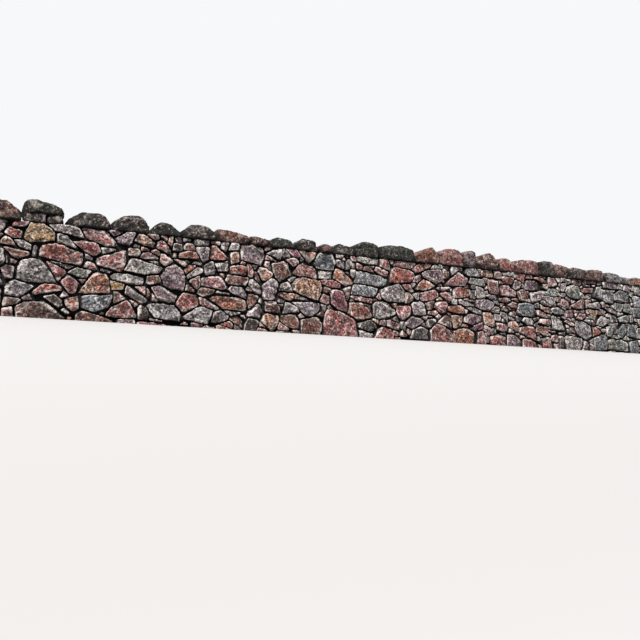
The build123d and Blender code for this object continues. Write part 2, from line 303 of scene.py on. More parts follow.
    ("pink", 232, 98, 247, 95, 280, 98, 290, 110, 283, 117, 271, 122, 263, 118, 246, 106),
    ("brown", 236, 107, 244, 106, 250, 111, 248, 122, 240, 125, 236, 120),
    ("white", 253, 120, 258, 116, 266, 122, 265, 129, 257, 128),
    ("pale", 267, 125, 279, 125, 280, 128, 270, 130),
    ("blue", 281, 119, 296, 116, 311, 118, 311, 123, 300, 130, 288, 130),
    ("green", 290, 104, 324, 102, 327, 105, 322, 114, 293, 114),
    ("pale", 303, 82, 317, 81, 321, 86, 320, 100, 305, 100),
    ("lilac", 300, 70, 305, 63, 330, 61, 338, 67, 336, 76, 327, 80, 303, 79),
    ("peach", 312, 38, 330, 34, 337, 40, 338, 52, 331, 58, 312, 59),
    ("peach", 318, 120, 327, 119, 342, 119, 345, 126, 341, 133, 322, 133),
    ("pale_pink", 227, 89, 236, 87, 247, 91, 240, 94, 229, 93),
    ("lilac", 153, 24, 161, 20, 178, 28, 190, 35, 185, 38, 166, 41, 155, 33),
    ("dark", 158, 5, 193, 5, 195, 21, 183, 27, 165, 20),
    ("grey", 142, 20, 149, 15, 152, 20, 151, 31, 143, 30),
    ("dark", 191, 34, 192, 30, 200, 25, 214, 37, 211, 41, 198, 40),
    ("rose", 195, 0, 243, 0, 243, 24, 221, 31, 207, 31, 196, 14),
    ("brown", 216, 37, 226, 31, 242, 28, 243, 46, 234, 48, 222, 42),
    ("orange", 244, 0, 290, 0, 292, 22, 280, 29, 260, 28, 245, 24),
    ("pink", 290, 0, 311, 0, 310, 15, 305, 26, 297, 25, 292, 18),
    ("pink", 312, 26, 321, 18, 327, 20, 327, 32, 313, 34),
    ("grey", 313, 7, 320, 6, 320, 17, 315, 19),
    ("red", 320, 5, 356, 3, 356, 20, 340, 24, 325, 19),
    ("lilac", 323, 87, 333, 81, 350, 80, 352, 88, 330, 90),
    # from 3.4 to 5.1 m past the mark
    ("brown", 348, 120, 362, 118, 365, 128, 360, 134, 350, 131),
    ("white", 367, 129, 374, 125, 394, 125, 396, 133, 393, 136, 375, 134),
    ("pink", 365, 120, 369, 111, 391, 110, 395, 119, 393, 124, 366, 125),
    ("pale_pink", 397, 125, 416, 117, 420, 119, 423, 132, 418, 135, 398, 134),
    ("pale_pink", 424, 125, 438, 126, 442, 130, 438, 135, 426, 134),
    ("purple", 420, 107, 426, 104, 450, 107, 462, 113, 461, 120, 450, 125, 430, 124, 422, 120),
    ("pink", 444, 127, 466, 122, 478, 123, 476, 128, 460, 133, 446, 131),
    ("brown", 440, 134, 451, 133, 452, 137, 442, 138),
    ("pale_pink", 479, 116, 500, 118, 504, 121, 500, 131, 494, 139, 485, 134, 479, 124),
    ("rose", 462, 113, 474, 111, 478, 116, 473, 120, 465, 119),
    ("green", 470, 104, 482, 99, 505, 100, 508, 104, 498, 113, 478, 110),
    ("rose", 334, 91, 356, 90, 357, 114, 333, 115, 331, 108),
    ("pink", 359, 88, 387, 88, 392, 96, 388, 105, 379, 109, 359, 108),
    ("purple", 388, 106, 396, 101, 406, 106, 408, 114, 401, 119, 392, 114),
    ("white", 410, 109, 416, 107, 418, 111, 414, 114),
    ("brown", 402, 84, 422, 87, 425, 95, 418, 106, 406, 105, 398, 96),
    ("mauve", 428, 90, 435, 82, 447, 85, 459, 92, 466, 108, 448, 105, 430, 102),
    ("pale", 462, 92, 482, 80, 494, 88, 492, 94, 485, 97, 467, 98),
    ("pale_pink", 352, 79, 368, 78, 372, 81, 366, 85, 354, 84),
    ("rose", 383, 84, 396, 81, 400, 84, 390, 89, 384, 88),
    ("pale", 335, 60, 349, 59, 351, 66, 344, 71, 337, 67),
    ("pale", 352, 64, 370, 62, 372, 66, 364, 75),
    ("rose", 368, 74, 380, 69, 389, 69, 390, 75, 380, 78),
    ("white", 353, 55, 368, 42, 370, 52, 368, 61, 355, 62),
    ("grey", 338, 48, 350, 46, 352, 54, 342, 57),
    ("pale_pink", 377, 57, 386, 54, 390, 60, 387, 65, 379, 64),
    ("slate", 392, 65, 398, 57, 433, 57, 440, 70, 438, 79, 426, 81, 400, 79),
    ("pale", 398, 49, 410, 42, 430, 44, 434, 50, 427, 55, 405, 55),
    ("white", 429, 50, 431, 47, 441, 53, 440, 58, 432, 56),
    ("pink", 340, 32, 345, 28, 362, 28, 366, 36, 363, 42, 342, 43),
    ("rust", 370, 36, 378, 29, 391, 28, 391, 40, 386, 47, 374, 45),
    ("rose", 393, 31, 399, 24, 415, 22, 429, 17, 432, 26, 430, 36, 410, 40, 397, 39),
    ("brown", 435, 36, 450, 25, 462, 26, 464, 36, 455, 43, 440, 46),
    ("pale_pink", 442, 50, 450, 45, 466, 46, 472, 52, 470, 56, 446, 56),
    ("ochre", 450, 72, 458, 71, 460, 79, 453, 82, 449, 78),
    ("brown", 460, 67, 472, 65, 479, 68, 478, 78, 463, 79),
    ("pink", 438, 63, 450, 59, 463, 62, 464, 68, 447, 72, 440, 71),
    ("blue", 480, 70, 495, 65, 512, 65, 512, 73, 498, 80, 484, 78),
    ("white", 473, 36, 504, 36, 507, 45, 503, 56, 490, 62, 475, 62),
    ("lilac", 361, 4, 377, 0, 393, 3, 393, 14, 380, 24, 363, 24),
    ("pale_pink", 395, 0, 432, 0, 431, 12, 414, 17, 398, 17),
    ("white", 433, 17, 440, 15, 443, 20, 437, 24),
    ("pink", 443, 0, 468, 0, 466, 22, 455, 23, 443, 20),
    ("rose", 469, 20, 484, 14, 490, 16, 489, 31, 472, 30),
    ("crimson", 471, 0, 488, 0, 488, 9, 478, 12, 471, 8),
    ("white", 464, 28, 470, 26, 473, 30, 467, 32),
    ("dark", 490, 3, 500, 3, 500, 28, 491, 29),
    # from 5 to 7.1 m past the mark
    ("grey", 501, 0, 538, 0, 547, 10, 550, 22, 540, 28, 515, 30, 502, 22),
    ("crimson", 516, 66, 522, 62, 534, 64, 538, 73, 530, 77, 518, 76),
    ("lilac", 509, 115, 513, 108, 519, 111, 527, 124, 522, 127, 513, 124),
    ("green", 521, 110, 536, 97, 549, 97, 564, 118, 559, 124, 542, 125, 529, 121),
    ("brown", 543, 127, 566, 124, 572, 130, 570, 138, 550, 136),
    ("pink", 567, 120, 572, 113, 595, 113, 601, 118, 600, 127, 580, 124),
    ("rose", 583, 131, 612, 131, 614, 135, 595, 137),
    ("green", 557, 103, 565, 100, 577, 101, 578, 106, 567, 111),
    ("brown", 579, 102, 590, 101, 592, 107, 582, 110),
    ("blue", 602, 105, 624, 103, 626, 120, 622, 128, 610, 127, 603, 115),
    ("blue", 628, 105, 640, 96, 658, 100, 660, 120, 652, 126, 634, 124),
    ("slate", 660, 106, 680, 102, 708, 104, 710, 115, 700, 123, 680, 127, 664, 120),
    ("lilac", 643, 128, 668, 127, 671, 131, 655, 136, 645, 133),
    ("grey", 630, 128, 637, 128, 638, 134, 632, 135),
    ("pale", 673, 128, 686, 127, 689, 133, 682, 139, 674, 135),
    ("purple", 691, 128, 708, 126, 710, 134, 694, 137),
    ("pale_pink", 533, 87, 540, 80, 568, 80, 571, 89, 566, 98, 552, 96),
    ("rose", 570, 87, 575, 84, 583, 97, 580, 100, 571, 98),
    ("grey", 579, 88, 590, 85, 615, 86, 617, 94, 610, 99, 585, 96),
    ("pink", 505, 84, 520, 78, 528, 84, 525, 92, 512, 96),
    ("white", 519, 100, 530, 93, 533, 95, 522, 102),
    ("pink", 541, 63, 560, 61, 574, 68, 570, 74, 552, 73),
    ("ochre", 581, 79, 595, 66, 600, 66, 601, 80, 587, 82),
    ("brown", 602, 73, 620, 72, 624, 78, 610, 82, 602, 80),
    ("lilac", 626, 86, 640, 80, 658, 78, 660, 82, 645, 88, 630, 89),
    ("slate", 662, 86, 678, 83, 682, 92, 678, 99, 663, 98),
    ("green", 684, 84, 700, 82, 709, 90, 708, 101, 690, 101),
    ("grey", 537, 46, 541, 33, 565, 21, 577, 27, 579, 52, 566, 57, 541, 58),
    ("pale_pink", 506, 53, 520, 47, 534, 48, 535, 52, 515, 58),
    ("pink", 522, 41, 525, 36, 536, 34, 535, 42, 528, 44),
    ("rust", 581, 34, 590, 33, 610, 41, 598, 46, 582, 46),
    ("pale", 595, 54, 613, 50, 635, 60, 632, 68, 615, 72, 600, 62),
    ("white", 578, 69, 584, 63, 599, 59, 599, 63, 586, 70),
    ("green", 619, 38, 628, 31, 640, 38, 640, 50, 634, 53, 625, 50),
    ("grey", 642, 50, 646, 43, 664, 58, 660, 63, 645, 60),
    ("slate", 580, 6, 600, 4, 620, 7, 622, 30, 612, 38, 597, 33, 582, 28),
    ("slate", 652, 40, 670, 32, 684, 45, 680, 60, 672, 60),
    ("green", 664, 66, 672, 62, 695, 63, 696, 74, 685, 78, 668, 74),
    ("slate", 686, 36, 710, 32, 710, 60, 695, 61, 686, 50),
    ("pale", 698, 66, 710, 64, 710, 79, 700, 80),
    ("green", 622, 9, 646, 9, 646, 28, 634, 30, 623, 26),
    ("green", 647, 6, 680, 5, 680, 27, 660, 30, 648, 27),
    ("slate", 681, 3, 710, 3, 710, 26, 695, 29, 682, 26),
    ("pale", 552, 7, 563, 6, 562, 18, 553, 20),
    ("brown", 564, 0, 579, 0, 580, 14, 568, 18),
)

# The stones that fill in between the measured ones and past them: width, height and how many are tried
FILLING_STONES = (
    (0.38, 0.23, 300),
    (0.29, 0.18, 500),
    (0.22, 0.14, 800),
    (0.16, 0.11, 1200),
    (0.11, 0.075, 1800),
    (0.075, 0.055, 2600),
    (0.055, 0.042, 3000),
)

# The granites of those stones, at the low end, in the middle and at the high end
FILLING_GRANITES = (
    ("grey", "pink", "brown", "pale", "rose", "lilac", "tan", "purple", "dark"),
    ("rose", "pink", "brown", "rust", "lilac", "tan", "grey", "crimson", "pale_pink"),
    ("green", "slate", "grey", "blue", "pale", "lilac", "slate", "green", "brown"),
)

# The heads: the height of each course, and how far its corner stones reach along the wall and across it
HEAD_COURSES = (
    (0.25, 0.46, 0.42),
    (0.21, 0.34, 0.26),
    (0.24, 0.50, 0.40),
    (0.18, 0.36, 0.25),
    (0.22, 0.48, 0.33),
)
LOWEST_COURSE = 0.09
HEAD_GAP = 0.02  # between the two stones of a course

# The cope stones in order from the low end: granite, and how much moss and lichen cover them
COPE_STONES = (
    ("brown", 0.4), ("olive", 0.5), ("umber", 0.3), ("umber", 0.2), ("charcoal", 0.9), ("umber", 0.5),
    ("brown", 0.2), ("russet", 0.4), ("charcoal", 0.8), ("umber", 0.3), ("russet", 0.3), ("umber", 0.3),
    ("olive", 0.9), ("charcoal", 1.0), ("rust", 0.3), ("rose", 0.1), ("purple", 0.2), ("russet", 0.1),
    ("pale_pink", 0.1), ("pale_pink", 0.2), ("umber", 0.6), ("brown", 0.4), ("umber", 0.2), ("brown", 0.3),
    ("grey", 0.3), ("pale", 0.3), ("tan", 0.4),
)

# How the joints part the stones of a face
JOINT_WIDENING = 0.7  # how much wider a joint is at the high end, as a share
JOINT_SPREAD = (0.3, 1.8)  # the narrowest and the widest joint, as shares of the usual one
JOINT_TURN = 0.07  # the most that a joint turns from the line that parts its stones best, as a slope
SHORTEST_EDGE = 0.003
NARROWEST_STONE = 0.022

# How the stones that fill in are placed and cut
CELL = 0.01  # spacing of the grid that shows where a face is still open
CELL_REACH = 0.004  # how far past its edges a measured stone takes up the grid
OVERLAP = 0.06  # the share of such a stone's place that others may hold already
SIZE_SPREAD = (0.8, 1.25)
TILT = 7  # degrees, a standard deviation
TAPER = (-0.2, 0.4)
CORNER_KEPT = (0.72, 0.98)  # the share of the way to a corner at which it is broken off
CORNER_SWING = 0.5  # radians that such a break turns, at most
GRANITE_ZONES = 2.6  # how far along the list of their granites the high end lies
GRANITE_DRIFT = 0.4  # how far a stone may stray along it

# How the surface of a stone is worn
SWELL_SCALE, SCALLOP_SCALE, FLAKE_SCALE = 9, 17, 37  # the noise that wears it, roughly in waves a metre
SWELL_FORM = (1.0, 2.1, 4)  # of the fractal noise: fineness, step in size and octaves
FLAKE_SHARE = 0.5  # how deep flakes are, as a share of a scallop
# The hollows take painted shade: from this depth, and over this span
HOLLOW_START, HOLLOW_SPAN = 0.30, 0.45  # in depths of a scallop
# The pale edges are part wear, part painted highlight
EDGE_REACH, EDGE_SPAN = 0.013, 0.009  # how far an edge's wear reaches, and over what distance it fades
BACK_ROWS, FRONT_BIAS = 6, 1.7  # the most rows of mesh that run back, and how they crowd to the front

# How a granite differs from stone to stone
LIGHT_SPREAD, WARM_SPREAD = (0.84, 1.04), (-0.04, 0.04)

# How the front of a face stone is broken: how many chips and facets it has, and how they lie
CHIPS, CHIP_SLOPES, CHIP_BITES = (3, 7), (28, 65), (0.005, 0.045)  # slopes in degrees
DEEPEST_BITE = 0.28  # as a share of the stone's smaller half size
FACETS, FACET_SLOPES = (3, 5), (0.3, 1.0)  # slopes as shares of the steepest
FACET_RISE = 0.045  # how far the steepest facet rises across the stone
FACET_SPREAD = 0.55  # how far from the middle facets start, as a share
FACET_SINK = 0.03  # how far back facets start, as a share of the stone's size
FACET_LIMIT = 0.4  # how near a facet comes to the stone's middle, as a share of its half depth
LEAST_HALF = 0.010  # how near a side comes to the stone's middle
BACK_TAPER, TAPER_SHARE = 0.10, 0.4  # the sides' steepest slope to the back, and the most they give way
SWELL_LIMITS, SCALLOP_LIMITS = (0.014, 0.07), (0.015, 0.08)  # in metres, and as a share of the stone's size
FACE_SHARPNESS = (15, 45)

# How painted shade darkens a stone into its joints, sooner under it than on top, over its lower part and in
# its hollows, in metres and in shares of its half height
JOINT_START, JOINT_SPAN, TOP_LIT, TOP_START = 0.001, 0.009, 0.010, 0.3
FOOT_START, FOOT_SHADE = -0.4, 0.6
HOLLOW_SHADE = 0.7

# How the blocks of the cope and the slabs are cut: how deep they swell and scallop, and their breaks
COPE_CUT = ((0.008, 0.020), 9)
PACKING_CUT = ((0.016, 0.022), 6)
SLAB_CUT = ((0.006, 0.006), 4)
BREAK_RISES, BREAK_DEPTHS = (-0.5, 0.9), (0.82, 0.97)
BLOCK_SHARPNESS = (60, 90)

# Where painted shade darkens a block towards its sides and its bed, in shares of its half sizes: from
# where, and how fast
SIDE_START, SIDE_SPAN, BED_START, BED_SPAN = 0.80, 0.14, -0.50, 0.4
BORDER_RAGGED, BORDER_SCALE = 0.4, 11
BLOCK_HOLLOW_SHADE = 0.8

# How the stones lie in the wall
FOOTING_FOOT, FOOTING_MIDDLE = 0.03, 0.17  # a foundation stone's foot and middle lie lower than this
PIN_SIZE = 0.07  # narrower stones are pins
PIN_PROUD, STONE_PROUD, FOOTING_PROUD = (-0.035, -0.005), (-0.012, 0.016), 0.02
CORE_GAP = 0.004
BACK_SHIFT = 0.45  # how far the back's stones are moved along, as a share of the wall
HEAD_ROOM = 0.36  # the measured stones stay this far from the ends, where the heads are

# The small stone behind the faces
PACKING_MARGIN = 0.3  # how far it stays from the wall's ends
PACKING_SPACING = 0.05
PACKING_TOP = 0.03  # how far under the top of the walling it ends
PACKING_FRONT, PACKING_LUMPS = 0.075, 0.06  # how far behind the face it begins, and how much that varies
LUMP_SCALE = 13
PACKING_GAP = 0.006  # to the core

# How big the patterns on the granite are drawn. Its crystals are 3 to 8 mm, but finer ones than these don't
# show from this far
CRYSTAL_SIZE, BLOTCH_SIZE, CLOUD_SIZE = 0.026, 0.07, 0.16
MOSS_SIZE, LICHEN_SIZE = 0.05, 0.028
CRACKS = 8.0  # a metre
RELIEF = 0.026

# What darkens the granite: iron in blotches, dark crystals, cracks, and painted shade for the depth of a
# joint
IRON = (0.16, 0.12, 0.11, 1)
MICA = (0.05, 0.04, 0.04, 1)
CRACK_DARK = (0.10, 0.08, 0.08, 1)
PAINTED_SHADE_COLOUR = (0.03, 0.027, 0.025, 1)

# Added to the seed, so that each step makes its own choices
HEADS_SEED, COPE_SEED = 3, 5


@dataclass
class Stone:
    """One stone of a face: its corners, anticlockwise, its granite and how it lies in the wall."""

    corners: np.ndarray
    granite: str
    piece: str = ""
    depth: float = 0.0
    proud: float = 0.0

    @property
    def middle(self):
        return self.corners.mean(0)


@dataclass
class Rock:
    """The surface of one stone with what its finish needs to know."""

    points: np.ndarray
    quads: np.ndarray
    loop: np.ndarray
    # rim: how much a point belongs to an edge, pale there as wear and as a painted highlight
    rim: np.ndarray
    # shade: painted shade, from 0 where lit to 1 deep in a joint
    shade: np.ndarray
    ground: np.ndarray
    stain: np.ndarray
    moss: float
    shift: float


def wall_top(x):
    """Height of the walling under the cope."""
    return FIRST_BAY_HIGH.z + CLIMB * (x - FIRST_BAY_HIGH.x)


def face_reach(z):
    """How far a face stands from the wall's middle line at a height."""
    return HALF_BASE - z / BATTER


def linear(hex_colour):
    """An sRGB hex colour as linear red, green and blue."""
    parts = [int(hex_colour[k : k + 2], 16) / 255 for k in (1, 3, 5)]
    return tuple(c / 12.92 if c <= 0.04045 else ((c + 0.055) / 1.055) ** 2.4 for c in parts)


def tints(granite, rng):
    """A granite's ground and stain, lighter or darker and warmer or cooler from stone to stone."""
    light, warm = rng.uniform(*LIGHT_SPREAD), rng.uniform(*WARM_SPREAD)
    change = np.array((1 + warm, 1.0, 1 - warm)) * light
    return [np.array(linear(shade)) * change for shade in GRANITES[granite]]


def clip(outline, normal, offset):
    """The part of a convex outline that lies behind a line."""
    kept = []
    for here, there in zip(outline, outline[1:] + outline[:1]):
        ahead, beyond = here @ normal - offset, there @ normal - offset
        if ahead <= 0:
            kept.append(here)
        if ahead * beyond < 0:
            kept.append(here + (there - here) * ahead / (ahead - beyond))
    return kept


def edge_normals(corners):
    """The outward normals of an outline's edges."""
    edges = np.roll(corners, -1, 0) - corners
    normals = np.stack((edges[:, 1], -edges[:, 0]), 1)
    return normals / np.linalg.norm(normals, axis=1)[:, None]


def rough_block(x, z, width, height, turn, taper, rng):
    """The corners of a tilted, tapered block whose four corners are broken off, each in its own way."""
    foot, head = width / 2 * (1 + min(taper, 0)), width / 2 * (1 - max(taper, 0))
    along = np.array((math.cos(turn), math.sin(turn)))
    up = np.array((-along[1], along[0])) * height / 2
    corners = [-along * foot - up, along * foot - up, along * head + up, up - along * head]
    outline = list(corners)
    for corner in corners:
        swing = math.atan2(corner[1], corner[0]) + rng.uniform(-CORNER_SWING, CORNER_SWING)
        normal = np.array((math.cos(swing), math.sin(swing)))
        outline = clip(outline, normal, (corner @ normal) * rng.uniform(*CORNER_KEPT))
    return np.array(outline) + np.array((x, z))


def parting_line(stone, other):
    """The line that best parts two neighbours: its normal, towards the other stone, and its offset."""
    apart = other.middle - stone.middle
    between = apart / np.linalg.norm(apart)
    normals = np.concatenate((edge_normals(stone.corners), -edge_normals(other.corners), between[None]))
    near = (stone.corners @ normals.T).max(0)
    far = (other.corners @ normals.T).min(0)
    best = (far - near).argmax()
    return normals[best], (near[best] + far[best]) / 2


def grown_outline(stone, others, settings, top, rng):
    """A stone's outline on the face, grown until it leaves only an open, wedge-shaped joint to each
    neighbour. The joints are wider towards the high end."""
    low, high = wall_top(WALL_LEFT), wall_top(WALL_RIGHT)
    joint = settings.joint * (1 + JOINT_WIDENING * (top(stone.middle[0]) - low) / (high - low))
    slack = settings.slack
    (left, foot), (right, head) = stone.corners.min(0) - slack, stone.corners.max(0) + slack
    outline = [np.array(corner) for corner in ((left, foot), (right, foot), (right, head), (left, head))]
    for corner, normal in zip(stone.corners, edge_normals(stone.corners)):
        outline = clip(outline, normal, corner @ normal + slack)
    for other in others:
        normal, offset = parting_line(stone, other)
        nearest = stone.middle + normal * (offset - stone.middle @ normal)
        normal = normal + rng.uniform(-JOINT_TURN, JOINT_TURN) * np.array((-normal[1], normal[0]))
        normal = normal / np.linalg.norm(normal)
        outline = clip(outline, normal, nearest @ normal - joint / 2 * rng.uniform(*JOINT_SPREAD))
    rise = np.array((top(WALL_LEFT) - top(WALL_RIGHT), WALL_RIGHT - WALL_LEFT))
    rise = rise / np.linalg.norm(rise)
    outline = clip(outline, rise, rise @ np.array((WALL_LEFT, top(WALL_LEFT))))
    outline = clip(outline, np.array((0.0, -1.0)), 0.0)
    outline = clip(outline, np.array((-1.0, 0.0)), -WALL_LEFT)
    outline = np.array(clip(outline, np.array((1.0, 0.0)), WALL_RIGHT)).reshape(-1, 2)
    edges = np.linalg.norm(np.roll(outline, -1, 0) - outline, axis=1)
    return outline[edges > SHORTEST_EDGE]


def lattice(counts, back):
    """A box's surface as a lattice: points from -1 to 1, four-sided faces, and the loop round its back."""
    nx, ny, nz = counts
    faces = []

    def sheet(fixed, value, first, second, flip):
        a, b = np.meshgrid(np.arange(counts[first]), np.arange(counts[second]), indexing="ij")
        corners = []
        for da, db in ((0, 0), (1, 0), (1, 1), (0, 1)):
            place = [None, None, None]
            place[fixed] = np.full(a.size, value)
            place[first] = (a + da).ravel()
            place[second] = (b + db).ravel()
            corners.append((place[0] * (ny + 1) + place[1]) * (nz + 1) + place[2])
        made = np.stack(corners, 1)
        faces.append(made[:, ::-1] if flip else made)

    sheet(1, 0, 0, 2, False)
    sheet(0, 0, 1, 2, True)
    sheet(0, nx, 1, 2, False)
    sheet(2, 0, 0, 1, True)
    sheet(2, nz, 0, 1, False)
    if back:
        sheet(1, ny, 0, 2, True)
    codes, numbered = np.unique(np.concatenate(faces), return_inverse=True)
    quads = numbered.reshape(-1, 4)
    place = np.stack((codes // ((ny + 1) * (nz + 1)), codes // (nz + 1) % (ny + 1), codes % (nz + 1)), 1)
    loop = []
    if not back:
        rim = [(i, 0) for i in range(nx, 0, -1)] + [(0, k) for k in range(nz)]
        rim += [(i, nz) for i in range(nx)] + [(nx, k) for k in range(nz, 0, -1)]
        loop = np.searchsorted(codes, [(i * (ny + 1) + ny) * (nz + 1) + k for i, k in rim])
    return 2.0 * place / np.array(counts) - 1.0, quads, loop


def weathered(points, swell, scallop, shift):
    """How far each point of a stone lies in or out: swells, and scallops between sharp ridges where flakes
    came off."""
    worn = [
        swell * noise.fractal(Vector(p) * SWELL_SCALE + shift, *SWELL_FORM)
        - scallop * abs(noise.noise(Vector(p) * SCALLOP_SCALE - shift))
        - FLAKE_SHARE * scallop * abs(noise.noise(Vector(p) * FLAKE_SCALE + shift))
        for p in points
    ]
    return np.array(worn)


def make_rock(half_size, normals, offsets, spacing, wear, sharpness, back, rng):
    """A stone round the origin, bounded by planes whose edges are worn round, the more so the less sharp
    it is. With it come how hard each plane presses on each point, and how deep each lies in a hollow."""
    counts = [max(3, int(round(2 * half / spacing))) for half in half_size]
    # A stone whose back is open is fine near its face, where it is seen, and coarse behind it
    if not back:
        counts[1] = max(3, min(counts[1] // 2, BACK_ROWS))
    unit, quads, loop = lattice(counts, back)
    if not back:
        unit[:, 1] = 2 * ((unit[:, 1] + 1) / 2) ** FRONT_BIAS - 1
    cage = unit * np.array(half_size)
    pressed = np.maximum(cage @ normals.T, 0) / offsets
    gauge = (pressed**sharpness).sum(1) ** (1 / sharpness)
    points = cage / gauge[:, None]
    shift = rng.uniform(0, 90)
    outward = points / np.linalg.norm(points, axis=1)[:, None]
    worn = weathered(points, *wear, Vector((shift, -shift, shift)))
    hollow = np.clip((-worn / wear[1] - HOLLOW_START) / HOLLOW_SPAN, 0, 1)
    return points + outward * worn[:, None], quads, loop, pressed / pressed.max(1)[:, None], hollow, shift


def edge_share(pressed, points):
    """How much each point of a stone belongs to an edge: 1 on it and 0 beyond its reach."""
    gap = (1 - np.sort(pressed, 1)[:, -2]) * np.linalg.norm(points, axis=1)
    return np.clip((EDGE_REACH - gap) / EDGE_SPAN, 0, 1)


def facet_normal(turn, slope):
    """The outward normal of a break on a stone's front, from the way it faces and how steep it is."""
    return np.array((math.cos(turn) * math.sin(slope), -math.cos(slope), math.sin(turn) * math.sin(slope)))


def face_rock(stone, outline, spacing, rng):
    """A face stone: its outline runs back into the wall, tapering, and its front is broken into facets. It
    is painted with shade into the joints, most of all under it, and in its hollows."""
    middle = outline.mean(0)
    half_depth = stone.depth / 2
    half_width, half_height = np.abs(outline - middle).max(0)
    size = math.hypot(half_width, half_height)
    sides = edge_normals(outline)
    side_offsets = np.maximum(((outline - middle) * sides).sum(1), LEAST_HALF)
    tail = 0.0 if "head" in stone.piece else min(BACK_TAPER, TAPER_SHARE * side_offsets.min() / half_depth)
    normals = [(0.0, 1.0, 0.0), *((a, tail, b) for a, b in sides)]
    offsets = [half_depth, *(side_offsets - tail * half_depth)]
    chips = range(rng.randint(*CHIPS))
    for _ in chips:
        facet = facet_normal(rng.uniform(0, 2 * math.pi), math.radians(rng.uniform(*CHIP_SLOPES)))
        bite = min(rng.uniform(*CHIP_BITES), DEEPEST_BITE * min(half_width, half_height))
        normals.append(facet)
        offsets.append(((outline - middle) @ facet[[0, 2]]).max() - half_depth * facet[1] - bite)
    normals.append((0.0, -1.0, 0.0))
    offsets.append(half_depth)
    steepest = math.atan(FACET_RISE / size)
    for _ in range(rng.randint(*FACETS)):
        facet = facet_normal(rng.uniform(0, 2 * math.pi), rng.uniform(*FACET_SLOPES) * steepest)
        across = rng.uniform(-FACET_SPREAD, FACET_SPREAD) * half_width
        up = rng.uniform(-FACET_SPREAD, FACET_SPREAD) * half_height
        normals.append(facet)
        reach = facet @ np.array((across, rng.uniform(0, FACET_SINK) * size - half_depth, up))
        offsets.append(max(reach, FACET_LIMIT * half_depth))
    half_size = (half_width, half_depth, half_height)
    wear = [min(most, share * size) for most, share in (SWELL_LIMITS, SCALLOP_LIMITS)]
    sharpness = rng.uniform(*FACE_SHARPNESS)
    made = make_rock(half_size, np.array(normals), np.array(offsets), spacing, wear, sharpness, False, rng)
    points, quads, loop, pressed, hollow, shift = made
    around = 1 + len(sides)
    front = pressed[:, around + len(chips) :].max(1)
    rim = edge_share(np.column_stack((pressed[:, : around + len(chips)], front)), points)
    seen = pressed[:, around:].max(1)
    if "head" in stone.piece:
        outward = (sides[:, 0] * math.copysign(1, middle[0])).argmax()
        seen = np.maximum(seen, pressed[:, 1 + outward])
    rise = points[:, 2] / half_height
    # Painted shade, deeper behind the seen front; top edges keep a painted light longer than lower ones
    sunk = (1 - seen) * half_depth - JOINT_START - TOP_LIT * np.clip(TOP_START + rise, 0, 1)
    shade = np.clip(sunk / JOINT_SPAN, 0, 1)
    # Painted shade over the stone's lower part and in its hollows
    shade = np.maximum(shade, np.clip(FOOT_START - rise, 0, FOOT_SHADE))
    shade = np.maximum(shade, HOLLOW_SHADE * hollow)
    points = points + np.array((middle[0], half_depth - stone.proud, middle[1]))
    return Rock(points, quads, loop, rim, shade, *tints(stone.granite, rng), 0.0, shift)


def block_rock(solid, spacing, wear, chips, granite, moss, rng):
    """A stone that fills a CAD solid: its planes, and a few breaks across its edges. It is painted with
    shade towards its neighbours and its bed, with a ragged border, and in its hollows."""
    middle, half_size, normals, offsets, corners = solid
    normals, offsets = list(normals), list(offsets)
    for _ in range(chips):
        turn, rise = rng.uniform(0, 2 * math.pi), rng.uniform(*BREAK_RISES)
        chip = np.array((math.cos(turn), math.sin(turn), rise))
        chip = chip / np.linalg.norm(chip)
        normals.append(chip)
        offsets.append((corners @ chip).max() * rng.uniform(*BREAK_DEPTHS))
    sharpness = rng.uniform(*BLOCK_SHARPNESS)
    made = make_rock(half_size, np.array(normals), np.array(offsets), spacing, wear, sharpness, True, rng)
    points, quads, loop, pressed, hollow, shift = made
    rim = edge_share(pressed, points)
    side, rise = np.abs(points[:, 0]) / half_size[0], points[:, 2] / half_size[2]
    shade_border_noise = [noise.noise(Vector(p) * BORDER_SCALE + Vector((shift, 0, 0))) for p in points]
    rough = BORDER_RAGGED * np.array(shade_border_noise)
    # Painted shade towards the neighbours and the bed, with a ragged border, and in the hollows
    shade = np.clip((side - SIDE_START + rough) / SIDE_SPAN, 0, 1) * np.clip(1.0 - rise, 0, 1)
    shade = np.maximum(shade, np.clip((BED_START + rough - rise) / BED_SPAN, 0, 1))
    shade = np.maximum(shade, BLOCK_HOLLOW_SHADE * hollow)
    points = points + middle
    points[:, 2] = np.maximum(points[:, 2], 0.0)
    return Rock(points, quads, loop, rim, shade, *tints(granite, rng), moss, shift)


def packing_rock(left, right, mirrored, rng):
    """The small stone bedded behind the face stones of a bay. It closes the bottoms of the joints, and
    is painted wholly in shade.
    """
    left, right = max(left, WALL_LEFT + PACKING_MARGIN), min(right, WALL_RIGHT - PACKING_MARGIN)
    counts = (int((right - left) / PACKING_SPACING), 1, int(wall_top(0) / PACKING_SPACING))
    unit, quads, loop = lattice(counts, True)
    x = left + (unit[:, 0] + 1) / 2 * (right - left)
    high = np.array([wall_top(-a if mirrored else a) - PACKING_TOP for a in x])
    z = FOOTING_HEIGHT + (unit[:, 2] + 1) / 2 * (high - FOOTING_HEIGHT)
    lumps = np.array([abs(noise.noise(Vector((a, left, b)) * LUMP_SCALE)) for a, b in zip(x, z)])
    front, back = PACKING_FRONT + PACKING_LUMPS * lumps, face_reach(z) - HALF_CORE - PACKING_GAP
    depth = np.where(unit[:, 1] < 0, front, back)
    blank = np.zeros(len(x))
    points = np.stack((x, depth, z), 1)
    # Painted wholly in shade, as the dark depth of the joints
    return Rock(points, quads, loop, blank, blank + 1.0, *tints("dark", rng), 0.0, 0.0)


def battered(rock, mirrored):
    """A rock moved from the upright face it was laid out on to its place in the leaning face."""
    x, depth, z = rock.points.T
    z = np.maximum(z, 0.0)
    depth = depth - face_reach(z)
    rock.points = np.stack((-x, -depth, z) if mirrored else (x, depth, z), 1)
    return rock


